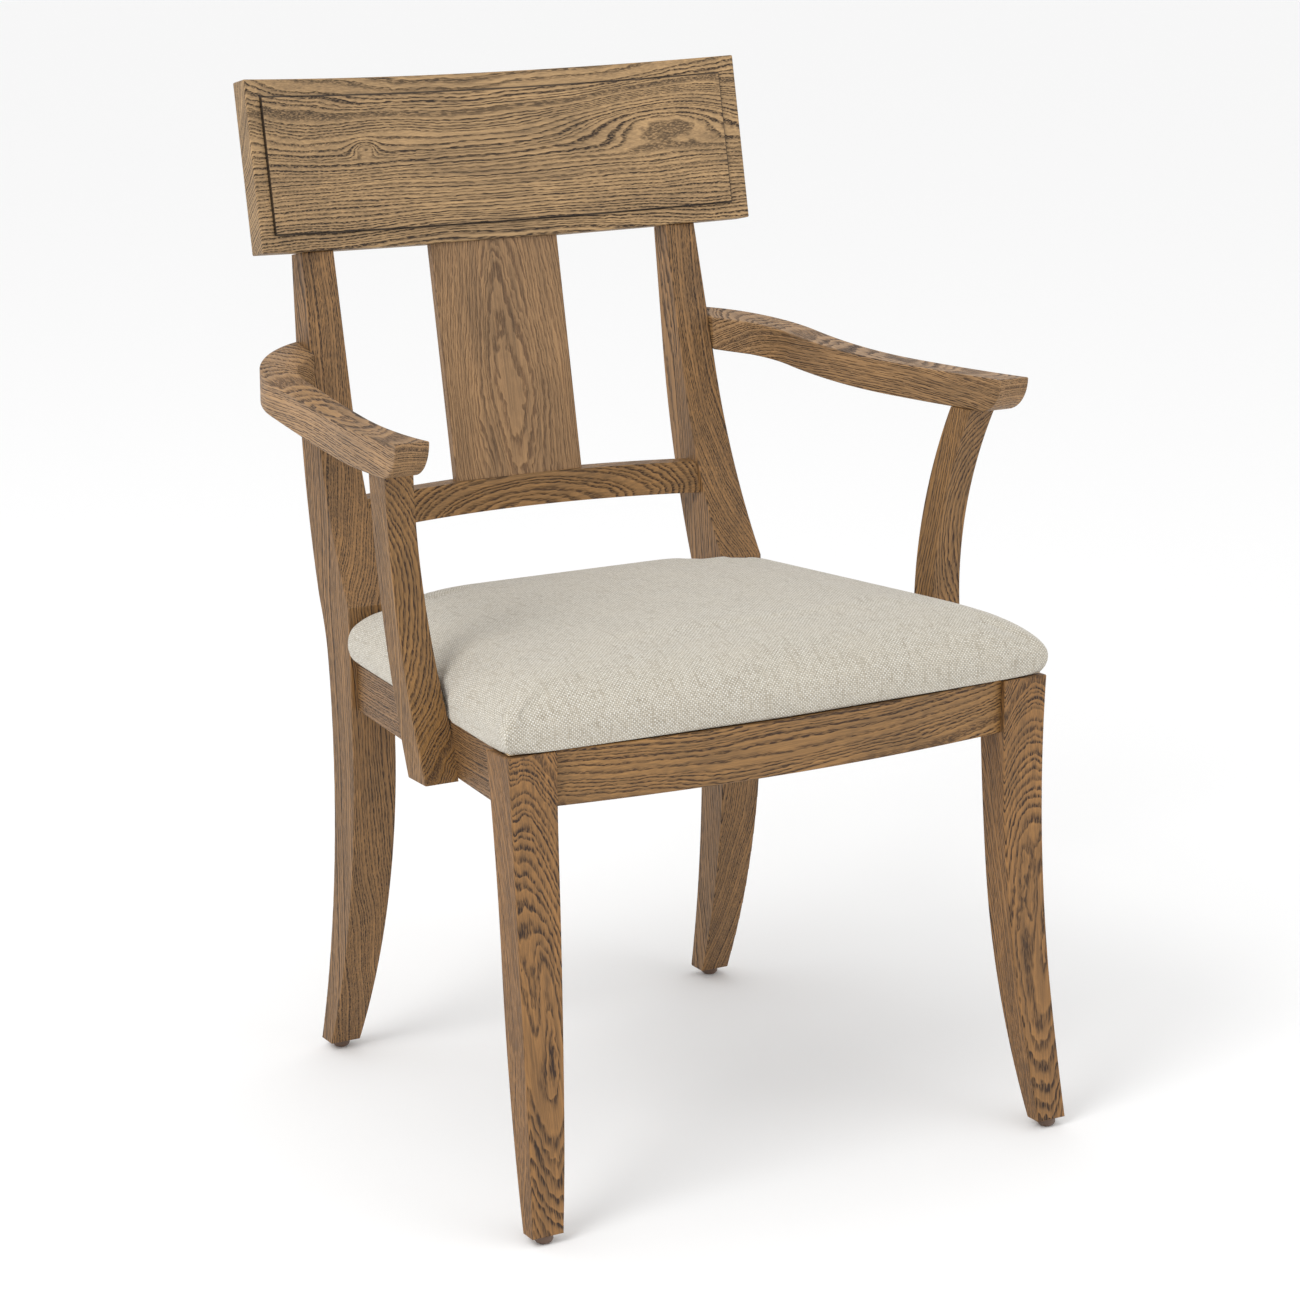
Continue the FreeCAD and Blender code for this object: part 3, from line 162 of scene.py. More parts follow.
def noise(tree, place, across, along, detail=2.0, roughness=0.5, seed=0.0, colour=False):
    """Noise stretched along the grain: one cell is so many millimetres across and along."""
    scaled = vector_sum(tree, "MULTIPLY", place, (1 / across, 1 / across, 1 / along))
    made = add(tree, "ShaderNodeTexNoise",
               {"Vector": scaled, "W": seed, "Scale": 1.0, "Detail": detail, "Roughness": roughness},
               noise_dimensions="4D")
    return made.outputs["Color" if colour else "Fac"]


def oak_figure():
    """The shared figure of brushed oak: growth rings, pores, fibres and stain."""
    tree = bpy.data.node_groups.new("oak_figure", "ShaderNodeTree")
    for name, kind in (("Place", "Vector"), ("Heart", "Vector"), ("Bend", "Float"), ("Ring", "Float"),
                       ("Seed", "Float"), ("Eye", "Float"), ("Light", "Color"), ("Dark", "Color")):
        tree.interface.new_socket(name, in_out="INPUT", socket_type="NodeSocket" + kind)
    for name, kind in (("Colour", "Color"), ("Roughness", "Float"), ("Height", "Float")):
        tree.interface.new_socket(name, in_out="OUTPUT", socket_type="NodeSocket" + kind)
    given = add(tree, "NodeGroupInput").outputs
    place, seed = given["Place"], given["Seed"]

    # rings round the heart, which wander along the tree and ripple a little
    def wander(across, along, by):
        drift = noise(tree, place, across, along, 1.0, seed=seed, colour=True)
        shift = vector_sum(tree, "SUBTRACT", drift, (0.5, 0.5, 0.5))
        return vector_sum(tree, "MULTIPLY", shift, (by * 2, by * 2, 0))

    moved = place
    for shift in (wander(WAVE_ACROSS, WAVE_ALONG, WAVE), wander(RIPPLE_ACROSS, RIPPLE_ALONG, RIPPLE)):
        moved = vector_sum(tree, "ADD", moved, shift)
    flat = vector_sum(tree, "MULTIPLY", vector_sum(tree, "SUBTRACT", moved, given["Heart"]), (1, 1, 0))
    radius = add(tree, "ShaderNodeVectorMath", {0: flat}, operation="LENGTH").outputs["Value"]
    up = add(tree, "ShaderNodeSeparateXYZ", {0: place}).outputs["Z"]
    swept = sum_of(tree, "MULTIPLY", sum_of(tree, "MULTIPLY", up, up), given["Bend"])
    radius = sum_of(tree, "ADD", sum_of(tree, "ADD", radius, swept), given["Eye"])
    rings = sum_of(tree, "DIVIDE", radius, given["Ring"])
    years = sum_of(tree, "MULTIPLY", rings, 0.31)
    uneven = add(tree, "ShaderNodeTexNoise", {"W": years, "Scale": 1.0, "Detail": 1.0},
                 noise_dimensions="1D").outputs["Fac"]
    rings = sum_of(tree, "ADD", rings, sum_of(tree, "MULTIPLY", uneven, 2.2))
    part = sum_of(tree, "FRACT", rings)
    year = add(tree, "ShaderNodeTexWhiteNoise", {"W": sum_of(tree, "FLOOR", rings)},
               noise_dimensions="1D").outputs["Value"]

    # early wood starts sharply and fades; how open its pores are changes from year to year
    early = sum_of(tree, "MULTIPLY", ramp(tree, part, 0.0, 0.13), ramp(tree, part, 0.22, 0.72, 1.0, 0.0))
    early = sum_of(tree, "MULTIPLY", early, sum_of(tree, "MULTIPLY_ADD", year, 0.55, 0.45))
    pores = noise(tree, place, PORE_WIDTH, PORE_LENGTH, 1.0, seed=seed)
    open_pores = sum_of(tree, "MULTIPLY", ramp(tree, pores, 0.42, 0.57),
                        sum_of(tree, "MULTIPLY_ADD", early, 0.9, 0.10))
    band = sum_of(tree, "MULTIPLY_ADD", early, 0.46, open_pores, clamp=True)

    # fibres, streaks and stain shade the wood, and the last wood of each year carries a painted highlight,
    # along the lip of the next brushed-out groove
    fibres = noise(tree, place, FIBRE_WIDTH, FIBRE_LENGTH, seed=seed)
    streaks = noise(tree, place, STREAK_WIDTH, STREAK_LENGTH, seed=seed)
    stain = noise(tree, place, STAIN_ACROSS, STAIN_ALONG, seed=seed)
    colour = blend(tree, band, given["Light"], given["Dark"])
    shade = sum_of(tree, "ADD", ramp(tree, fibres, 0.3, 0.7, 0.80, 1.16),
                   ramp(tree, stain, 0.3, 0.7, -0.14, 0.10))
    shade = sum_of(tree, "ADD", shade, ramp(tree, streaks, 0.32, 0.68, -0.13, 0.11))
    # painted highlight: the last wood of each year is lightened where the ridge meets the next groove
    shade = sum_of(tree, "MULTIPLY_ADD", ramp(tree, part, 0.78, 0.98), 0.12, shade)
    grey = add(tree, "ShaderNodeCombineColor", {0: shade, 1: shade, 2: shade}).outputs[0]
    colour = blend(tree, 1.0, colour, grey, "MULTIPLY")
    height = sum_of(tree, "SUBTRACT", sum_of(tree, "MULTIPLY", fibres, 0.25), band)
    rough = sum_of(tree, "MULTIPLY_ADD", band, 0.22, 0.50)
    add(tree, "NodeGroupOutput", {"Colour": colour, "Roughness": rough, "Height": height})
    return tree


OAK_FIGURE = oak_figure()
OAK_RELIEF = 0.55         # how deep the brush has worn the soft early wood, in millimetres
PAINTED_SHADE_LINE = 1.7          # width of the painted shade line beside a raised field, standing for the shadow of its step


def oak(name, centre, grain, face, heart=(0, 90), bend=0.0, ring=2.2, seed=0.0, eyes=(), field=None,
        light="#a98c69", dark="#5b4029"):
    """Wire-brushed solid oak with a matt brown stain: dark open pores in wavy rings, low sheen.

    The tree's heart lies at (across the board, behind its face), and bend tapers the rings along the grain.
    Eyes are swellings of the rings round a knot: (across, along, half width, half length, rise). A field is
    half the width and half the length of a raised panel, which has a line of painted shade round it, standing
    for the shadow of its step."""
    material, tree, shader = new_material(name)
    along = Vector(grain).normalized()
    inward = -(Vector(face) - along * along.dot(Vector(face))).normalized()
    axes = Matrix((inward.cross(along), inward, along)).transposed()
    spot = object_place(tree, axes.to_euler(), centre)
    raised = 0.0
    for across, up, wide, tall, rise in eyes:
        away = vector_sum(tree, "SUBTRACT", spot, (across, 0, up))
        away = vector_sum(tree, "MULTIPLY", away, (1 / wide, 0, 1 / tall))
        square = dot_product(tree, away, away)
        swell = sum_of(tree, "EXPONENT", sum_of(tree, "MULTIPLY", square, -1.0))
        swell = sum_of(tree, "MULTIPLY", swell, rise)
        raised = sum_of(tree, "ADD", swell, raised)
    figure = add(tree, "ShaderNodeGroup", node_tree=OAK_FIGURE)
    board = {"Place": spot, "Heart": (*heart, 0), "Bend": bend, "Ring": ring, "Seed": seed, "Eye": raised,
             "Light": linear(light), "Dark": linear(dark)}
    for key, value in board.items():
        if isinstance(value, bpy.types.NodeSocket):
            tree.links.new(value, figure.inputs[key])
        else:
            figure.inputs[key].default_value = value
    relief(tree, shader, figure.outputs["Height"], OAK_RELIEF)
    colour = figure.outputs["Colour"]
    # painted shade: a dark line round the raised field, standing for the shadow of its step, on every face
    # but the back
    if field:
        parts = add(tree, "ShaderNodeSeparateXYZ", {0: spot}).outputs
        past = [sum_of(tree, "SUBTRACT", sum_of(tree, "ABSOLUTE", parts[axis]), half)
                for axis, half in (("X", field[0]), ("Z", field[1]))]
        edge = sum_of(tree, "SUBTRACT", sum_of(tree, "MAXIMUM", *past), PAINTED_SHADE_LINE * 0.3)
        edge = sum_of(tree, "ABSOLUTE", edge)
        painted_shade = ramp(tree, edge, PAINTED_SHADE_LINE * 0.35, PAINTED_SHADE_LINE * 0.75, 0.85, 0.0)
        faced = dot_product(tree, add(tree, "ShaderNodeTexCoord").outputs["Normal"], inward)
        painted_shade = sum_of(tree, "MULTIPLY", painted_shade, sum_of(tree, "LESS_THAN", faced, 0.3))
        colour = blend(tree, painted_shade, colour, linear("#20140a"))
    tree.links.new(colour, shader.inputs["Base Color"])
    tree.links.new(figure.outputs["Roughness"], shader.inputs["Roughness"])
    shader.inputs["IOR"].default_value = 1.5
    return material


def placed_object(name, data):
    """A new object in the scene."""
    made = bpy.data.objects.new(name, data)
    bpy.context.collection.objects.link(made)
    return made


def finish_node(name, material):
    """Gives a CAD piece its material."""
    piece = nodes[name]
    piece.data.materials.clear()
    piece.data.materials.append(material)


def middle(name):
    """The middle of a CAD piece's box."""
    low, high = (Vector(corner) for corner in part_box(name))
    return (low + high) / 2


UP, BACK, RIGHT = Vector((0, 0, 1)), Vector((0, 1, 0)), Vector((1, 0, 0))
CREST_LEAN = math.tan(math.radians(12.2))
CREST_FIELD = (63.7, 248.0)     # half the height and half the width of the raised field


def middle_along(name, axis):
    """Half way between a piece's ends, measured along an axis."""
    reach = [axis.dot(v.co) for v in nodes[name].data.vertices]
    return (min(reach) + max(reach)) / 2


def oak_members():
    """Each member is cut from its own board, so each has its own figure."""
    for word, side in SIDES.items():
        out = RIGHT * side
        boards = {
            f"front_leg_{word}": dict(grain=UP + BACK * 0.17 + out * 0.03, face=-BACK, heart=(7 * side, 38),
                                      bend=0.0004, ring=2.0, light="#8d6434", dark="#331e0d",
                                      eyes=((5 * side, -10, 9, 60, 6),)),
            f"rear_leg_{word}": dict(grain=UP + BACK * 0.07, face=-BACK, heart=(150 * side, 90), bend=0.0001,
                                     ring=2.1, light="#8a653a", dark="#382513"),
            f"arm_{word}": dict(grain=BACK - out * 0.1, face=UP, heart=(22 * side, 90), bend=0.0002, ring=2.3,
                                light="#9c784f", dark="#402a18"),
            f"arm_support_{word}": dict(grain=UP + out * 0.1 - BACK * 0.05, face=-BACK, heart=(34 * side, 50),
                                        bend=0.0004, ring=2.1, light="#8a6538", dark="#361f0d"),
            f"side_seat_rail_{word}": dict(grain=BACK, face=out, heart=(150, 40), ring=2.0, light="#836039",
                                           dark="#382310"),
        }
        for name, board in boards.items():
            seed = 3.0 + len(name) * 1.7 + side * 4.1
            finish_node(name, oak(f"brushed_oak_{name}", centre=middle(name), seed=seed, **board))
    up_crest = (UP + BACK * CREST_LEAN).normalized()
    crest = middle("crest_rail")
    crest += up_crest * (middle_along("crest_rail", up_crest) - up_crest.dot(crest))
    finish_node("crest_rail", oak(
        "brushed_oak_crest_rail", centre=crest, grain=RIGHT, face=-BACK + UP * CREST_LEAN, field=CREST_FIELD,
        heart=(-120, 100), bend=-0.0004, ring=2.7, seed=1.0, light="#a6865d", dark="#2e1e10",
        eyes=((-14, -136, 8, 15, 9), (-26, 176, 24, 90, 24))))
    finish_node("back_splat", oak(
        "brushed_oak_back_splat", centre=middle("back_splat") - UP * 0.06, grain=UP + BACK * 0.2, face=-BACK,
        heart=(6, 60), bend=0.0003, ring=1.5, seed=2.0, light="#93714b", dark="#6c5036"))
    rails = {"lower_back_rail": (30, 45), "front_seat_rail": (60, 80), "rear_seat_rail": (30, 90)}
    for name, heart in rails.items():
        finish_node(name, oak(
            f"brushed_oak_{name}", centre=middle(name), grain=RIGHT + UP * 0.03, face=-BACK, heart=heart,
            ring=2.3, bend=0.0002, seed=6.0 + heart[1], light="#8e6839", dark="#38210d"))


oak_members()


# ---------------------------------------------------------------- materials: seat cloth

# Measures in millimetres. Real linen-look cloth has about 1.2 threads to the millimetre; drawn coarser.
THREAD = 1.8
SLUB_LENGTH = 26.0
HEATHER_LENGTH = 6.0


def linen():
    """Plain-woven linen-look cloth in heathered cream and beige: round threads, slubs, a dry soft sheen."""
    material, tree, shader = new_material("heathered_linen_cloth")
    cloth = add(tree, "ShaderNodeUVMap", uv_map="cloth").outputs[0]
    parts = add(tree, "ShaderNodeSeparateXYZ", {0: cloth}).outputs
    waver = add(tree, "ShaderNodeTexNoise", {"Vector": cloth, "Scale": 0.09, "Detail": 2.0}).outputs["Color"]
    waver = add(tree, "ShaderNodeSeparateXYZ", {0: waver}).outputs
    crossing = []
    tones = []
    for i, (across, along) in enumerate((("X", "Y"), ("Y", "X"))):
        place = sum_of(tree, "MULTIPLY_ADD", waver[across], 1.6, parts[across])
        count = sum_of(tree, "DIVIDE", place, THREAD)
        wave = sum_of(tree, "SINE", sum_of(tree, "MULTIPLY", count, math.pi))
        crossing.append(wave)
        number = sum_of(tree, "FLOOR", count)
        spot = add(tree, "ShaderNodeCombineXYZ",
                   {0: sum_of(tree, "MULTIPLY", number, 7.31), 1: parts[along], 2: i * 40.0}).outputs[0]
        for length in (HEATHER_LENGTH, SLUB_LENGTH):
            scaled = vector_sum(tree, "MULTIPLY", spot, (1, 1 / length, 1))
            tone = add(tree, "ShaderNodeTexNoise", {"Vector": scaled, "Scale": 1.0, "Detail": 1.0})
            tones.append(tone.outputs["Fac"])
    over = sum_of(tree, "GREATER_THAN", sum_of(tree, "MULTIPLY", crossing[0], crossing[1]), 0.0)
    round_warp, round_weft = (sum_of(tree, "POWER", sum_of(tree, "ABSOLUTE", wave), 0.6) for wave in crossing)
    warp_top = sum_of(tree, "MULTIPLY", round_warp, sum_of(tree, "MULTIPLY_ADD", round_weft, 0.5, 0.5))
    weft_top = sum_of(tree, "MULTIPLY", round_weft, sum_of(tree, "MULTIPLY_ADD", round_warp, 0.5, 0.5))
    picks = []
    for warp, weft in ((warp_top, weft_top), (tones[0], tones[2]), (tones[1], tones[3])):
        picks.append(add(tree, "ShaderNodeMix", {0: over, 2: weft, 3: warp}).outputs[0])
    height, heather, slub = picks
    warp = blend(tree, ramp(tree, heather, 0.3, 0.7), linear("#cdc6b8"), linear("#e0dcd2"))
    weft = blend(tree, ramp(tree, heather, 0.3, 0.7), linear("#a9a08e"), linear("#c6bead"))
    pale = blend(tree, over, weft, warp)
    pale = blend(tree, ramp(tree, slub, 0.40, 0.32, 0.0, 0.5), pale, linear("#9c907c"))
    broad = add(tree, "ShaderNodeTexNoise", {"Vector": cloth, "Scale": 0.02, "Detail": 2.0}).outputs["Fac"]
    pale = blend(tree, ramp(tree, broad, 0.35, 0.65, 0.0, 0.18), pale, linear("#cfc6b4"))
    # painted shade: the cloth is darker in the gaps between threads and down the round sides of each thread
    shade = ramp(tree, height, 0.0, 0.75, 0.34, 1.0)
    grey = add(tree, "ShaderNodeCombineColor", {0: shade, 1: shade, 2: shade}).outputs[0]
    colour = blend(tree, 1.0, pale, grey, "MULTIPLY")
    tree.links.new(colour, shader.inputs["Base Color"])
    swell = sum_of(tree, "MULTIPLY_ADD", slub, 0.6, height)
    bump = add(tree, "ShaderNodeBump", {"Height": swell, "Distance": 0.4 * MM, "Strength": 0.8})
    tree.links.new(bump.outputs["Normal"], shader.inputs["Normal"])
    shader.inputs["Roughness"].default_value = 0.92
    shader.inputs["Sheen Weight"].default_value = 0.25
    shader.inputs["Sheen Roughness"].default_value = 0.5
    shader.inputs["IOR"].default_value = 1.5
    return material


# ---------------------------------------------------------------- materials: what is under the seat

def planed_beech():
    """Planed raw beech: even pinkish tan with fine straight grain and short darker ray flecks."""
    material, tree, shader = new_material("planed_beech")
    place = object_place(tree, (0, math.radians(90), 0))
    grain = noise(tree, place, 1.6, 60, 3.0, seed=11.0)
    flecks = ramp(tree, noise(tree, place, 0.9, 3.2, 0.0, seed=12.0), 0.66, 0.74)
    colour = blend(tree, ramp(tree, grain, 0.3, 0.7), linear("#b98f63"), linear("#d6b083"))
    colour = blend(tree, sum_of(tree, "MULTIPLY", flecks, 0.5), colour, linear("#8f6440"))
    tree.links.new(colour, shader.inputs["Base Color"])
    relief(tree, shader, grain, 0.06)
    shader.inputs["Roughness"].default_value = 0.6
    return material


PLY = 1.33                # one layer of nine in the 12 mm board


def birch_plywood():
    """Raw birch plywood: a pale sanded face, and edges that show light and dark layers in turn."""
    material, tree, shader = new_material("birch_plywood")
    place = object_place(tree, (-SEAT_FALL, 0, 0))
    face = noise(tree, place, 9.0, 9.0, 3.0, seed=21.0)
    fibres = noise(tree, vector_sum(tree, "MULTIPLY", place, (1, 0.03, 1)), 1.2, 1.2, seed=22.0)
    layers = sum_of(tree, "DIVIDE", add(tree, "ShaderNodeSeparateXYZ", {0: place}).outputs["Z"], 2 * PLY)
    crosswise = ramp(tree, sum_of(tree, "PINGPONG", layers, 0.5), 0.22, 0.28)
    normal = add(tree, "ShaderNodeTexCoord").outputs["Normal"]
    upright = sum_of(tree, "ABSOLUTE", add(tree, "ShaderNodeSeparateXYZ", {0: normal}).outputs["Z"])
    edge = ramp(tree, upright, 0.5, 0.6, 1.0, 0.0)
    colour = blend(tree, ramp(tree, face, 0.3, 0.7), linear("#d8b98c"), linear("#e6cda4"))
    colour = blend(tree, ramp(tree, fibres, 0.55, 0.75, 0.0, 0.35), colour, linear("#b58f60"))
    colour = blend(tree, sum_of(tree, "MULTIPLY", edge, crosswise), colour, linear("#8d6a43"))
    tree.links.new(colour, shader.inputs["Base Color"])
    relief(tree, shader, fibres, 0.05)
    shader.inputs["Roughness"].default_value = 0.65
    return material


def moulded_nylon():
    """Brown moulded nylon: a faint orange-peel skin, scuffed paler where it has been dragged on a floor."""
    material, tree, shader = new_material("moulded_brown_nylon")
    place = object_place(tree)
    peel = noise(tree, place, 0.5, 0.5, 2.0, seed=31.0)
    scuffs = noise(tree, place, 0.7, 5.0, 3.0, seed=32.0)
    up = add(tree, "ShaderNodeSeparateXYZ", {0: place}).outputs["Z"]
    worn = sum_of(tree, "MULTIPLY", ramp(tree, up, 0.0, 2.5, 1.0, 0.0), ramp(tree, scuffs, 0.45, 0.65))
    colour = blend(tree, sum_of(tree, "MULTIPLY", worn, 0.6), linear("#5d4636"), linear("#9a8775"))
    tree.links.new(colour, shader.inputs["Base Color"])
    tree.links.new(ramp(tree, worn, 0.0, 1.0, 0.38, 0.62), shader.inputs["Roughness"])
    relief(tree, shader, peel, 0.03)
    shader.inputs["IOR"].default_value = 1.53
    return material


def zinc_plated_steel():
    """Zinc-plated steel: bluish silver with soft cloudy patches and fine drawing lines."""
    material, tree, shader = new_material("zinc_plated_steel")
    place = object_place(tree)
    clouds = noise(tree, place, 2.2, 2.2, 3.0, seed=41.0)
    lines = noise(tree, place, 0.25, 6.0, 1.0, seed=42.0)
    colour = blend(tree, ramp(tree, clouds, 0.3, 0.7), linear("#a5a9ae"), linear("#d2d4d3"))
    tree.links.new(colour, shader.inputs["Base Color"])
    tree.links.new(ramp(tree, clouds, 0.3, 0.7, 0.28, 0.45), shader.inputs["Roughness"])
    relief(tree, shader, lines, 0.01)
    shader.inputs["Metallic"].default_value = 1.0
    return material


BOND_SPACING = 2.4        # the pattern of welded dots that holds non-woven cloth together


def dust_cambric():
    """Black non-woven dust cloth: tangled fibres welded together in small shiny dents."""
    material, tree, shader = new_material("black_dust_cambric")
    place = object_place(tree)
    fibres = noise(tree, place, 0.35, 0.35, 4.0, 0.7, seed=51.0)
    dots = add(tree, "ShaderNodeTexVoronoi", {"Vector": place, "Scale": 1 / BOND_SPACING, "Randomness": 0.0},
               voronoi_dimensions="2D").outputs["Distance"]
    bond = ramp(tree, dots, 0.24, 0.32, 1.0, 0.0)
    colour = blend(tree, ramp(tree, fibres, 0.35, 0.7), linear("#191919"), linear("#3a3937"))
    tree.links.new(colour, shader.inputs["Base Color"])
    tree.links.new(ramp(tree, bond, 0.0, 1.0, 0.85, 0.45), shader.inputs["Roughness"])
    relief(tree, shader, sum_of(tree, "SUBTRACT", sum_of(tree, "MULTIPLY", fibres, 0.5), bond), 0.15)
    return material


def hidden_pieces():
    """The pieces under the seat and inside the joints."""
    beech = planed_beech()
    steel = zinc_plated_steel()
    nylon = moulded_nylon()
    finish_node("seat_board", birch_plywood())
    for end in ("front", "rear"):
        for word in SIDES:
            finish_node(f"{end}_corner_block_{word}", beech)
            finish_node(f"{end}_glide_{word}", nylon)
    for name in ("front_rail_dowels", "side_rail_dowels", "rear_rail_dowels", "arm_dowels"):
        finish_node(name, beech)
    for name in ("cover_staples", "glide_nails"):
        finish_node(name, steel)
    screws(steel)


# ---------------------------------------------------------------- the padded seat

# The pad is laid out in the seat's own axes, in millimetres: X across, Y back from the faces of the front
# legs and Z up from the top of the seat frame, which falls to the back.
SEAT_FALL = math.radians(1.9)
LEG_FACE = -0.2775
SEAT_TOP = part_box("front_leg_left")[1][2]
PAD_FRONT_HALF = 278.0
PAD_TAPER = 0.12           # each side runs in this much for every millimetre back
PAD_FRONT = 2.0
PAD_BOW = 13.0
PAD_AT_STILE = 406.5
PAD_NOTCH_HALF = 181.0
PAD_BACK = 450.0
PAD_CENTRE = (0.0, 212.0)
PAD_CORE = 0.6             # inside this share of the outline a grid closes the crown
PAD_CORE_INSET = 96.0
PAD_STEP = 5.5
# the section through an edge, from the cloth's cut edge under the board, round the side and over the crown:
# inset from the outline, and height
PAD_SECTION = ((43.0, 1.4), (42.5, 0.2), (24.0, 0.2), (3.0, 0.2), (0.0, 0.7), (-2.8, 4.2), (-4.5, 10.5),
               (-5.1, 19.0), (-2.9, 29.0), (5.0, 38.5), (20.0, 48.0), (46.0, 57.5), (96.0, 65.2))
PAD_DOME = 4.0             # how far the middle rises above the end of that section
UNDERSIDE_ROWS = 4         # rows of that section that lie flat under the board
WEAVE_TURN = 60.0          # inset where the cloth starts to turn down over the edge
PLEAT_DEPTH = 1.6
PLEAT_HEIGHT = 20.0
CORNER_PULL = 5.0          # how far the pulled cloth draws the front corners down
CORNER_REACH = 55.0
CORNER_CRISP = 0.85        # how nearly square the front corners are at the bottom
CORNER_FADE = (5, 36)      # heights between which they turn round


def from_seat(x, y, z):
    """A place in the seat's axes, in the frame's."""
    return Vector((x, y * math.cos(SEAT_FALL) + z * math.sin(SEAT_FALL),
                   z * math.cos(SEAT_FALL) - y * math.sin(SEAT_FALL))) * MM + Vector((0, LEG_FACE, SEAT_TOP))


def rounded(corners, step):
    """A closed outline round these corners, each (x, y, radius, pieces): its places, each with the number of
    its side, and at the two front corners with the step from it to the unrounded corner."""
    no_step = Vector((0, 0))
    count = len(corners)
    front = (0, count - 1)
    arcs = []
    for i, (x, y, radius, pieces) in enumerate(corners):
        here = Vector((x, y))
        back = (Vector(corners[i - 1][:2]) - here).normalized()
        ahead = (Vector(corners[(i + 1) % count][:2]) - here).normalized()
        half = back.angle(ahead) / 2
        hub = here + (back + ahead).normalized() * radius / math.sin(half)
        first = here + back * radius / math.tan(half) - hub
        turn = first.angle_signed(here + ahead * radius / math.tan(half) - hub)
        arc = []
        for k in range(pieces + 1):
            angle = -turn * k / pieces
            spoke = Vector((first.x * math.cos(angle) - first.y * math.sin(angle),
                            first.x * math.sin(angle) + first.y * math.cos(angle)))
            square = spoke * (radius / max(abs(spoke.x), abs(spoke.y)) - 1)
            arc.append((hub + spoke, square if i in front else no_step))
        arcs.append(arc)
    places = []
    for i, arc in enumerate(arcs):
        half = len(arc) // 2
        places += [(*spot, i + (k >= half), square) for k, (spot, square) in enumerate(arc)]
        last = arc[-1][0]
        gap = arcs[(i + 1) % count][0][0] - last
        pieces = 2 * max(1, round(gap.length / step / 2))
        places += [(*(last + gap * k / pieces), i + 1, no_step) for k in range(1, pieces)]
    return places


def pad_outline():
    """The seat in plan, notched round the stiles; each place has its inner partner and its side."""
    rear_half = PAD_FRONT_HALF - PAD_TAPER * PAD_AT_STILE
    right = [(PAD_FRONT_HALF, PAD_FRONT, 13, 14), (rear_half, PAD_AT_STILE, 9, 8),
             (PAD_NOTCH_HALF, PAD_AT_STILE, 3, 4), (PAD_NOTCH_HALF, PAD_BACK, 7, 6)]
    left = [(-x, y, radius, pieces) for x, y, radius, pieces in reversed(right)]
    places = []
    for x, y, side, square in rounded(right + left, PAD_STEP):
        if y < PAD_CENTRE[1]:
            y -= PAD_BOW * (1 - (x / PAD_FRONT_HALF) ** 2)
        places.append((x, y, side, square))
    rear = [i for i, place in enumerate(places) if place[1] > PAD_AT_STILE - 0.5]
    partners = [Vector(place[:2]) for place in places]
    for rank, i in enumerate(rear):
        share = rank / (len(rear) - 1)
        partners[i] = Vector((rear_half * (1 - 2 * share), (PAD_AT_STILE + PAD_BACK) / 2))
    middle_of_pad = Vector(PAD_CENTRE)
    partners = [middle_of_pad + (partner - middle_of_pad) * PAD_CORE for partner in partners]
    return places, partners


def smooth_section(points, pieces):
    """A smooth run through the points of a section, after Catmull and Rom."""
    run = []
    padded = [points[0], *points, points[-1]]
    for i in range(len(points) - 1):
        a, b, c, d = (Vector(point) for point in padded[i:i + 4])
        count = max(1, round((c - b).length / pieces))
        for k in range(count):
            t = k / count
            run.append(((b * 2) + (c - a) * t + (a * 2 - b * 5 + c * 4 - d) * t * t
                        + (b * 3 - a - c * 3 + d) * t * t * t) * 0.5)
    return run + [Vector(points[-1])]


def box_round(spots):
    """The lowest and the highest corner of the box round some points."""
    return [Vector(f(spot[i] for spot in spots) for i in range(3)) for f in (min, max)]


def span(name, low, high):
    """The box round what a CAD piece has between two heights."""
    return box_round([v.co for v in nodes[name].data.vertices if low <= v.co.z <= high])


def soft_step(value, low, high):
    """A smooth step from 0 to 1."""
    share = min(1.0, max(0.0, (value - low) / (high - low)))
    return share * share * (3 - 2 * share)


PAD_CLEAR = 0.8 * MM
PAD_EASE = 16 * MM         # length over which the pad gives way round an arm support
POST_LEVELS = (-0.006, 0.05)
POST = [span("arm_support_right", SEAT_TOP + rise, SEAT_TOP + rise + 0.012) for rise in POST_LEVELS]
STILE = span("rear_leg_right", SEAT_TOP - 0.02, SEAT_TOP + 0.06)


def kept_clear(spot):
    """A point of the pad moved off the arm supports and the stiles that it is pressed against."""
    side = -1 if spot.x < 0 else 1
    x, y, z = spot.x * side, spot.y, spot.z
    up = (z - SEAT_TOP) / (POST_LEVELS[1] - POST_LEVELS[0])
    inner, front, back = (POST[0][end][axis] + (POST[1][end][axis] - POST[0][end][axis]) * up
                          for end, axis in ((0, 0), (0, 1), (1, 1)))
    share = soft_step(y, front - PAD_EASE, front - PAD_CLEAR)
    share *= 1 - soft_step(y, back + PAD_CLEAR, back + PAD_EASE)
    x -= share * max(0.0, x - inner + PAD_CLEAR)
    into_x, into_y = x - (STILE[0].x - PAD_CLEAR), y - (STILE[0].y - PAD_CLEAR)
    if into_x > 0 and into_y > 0:
        if into_x < into_y:
            x -= into_x
        else:
            y -= into_y
    return Vector((x * side, y, z))


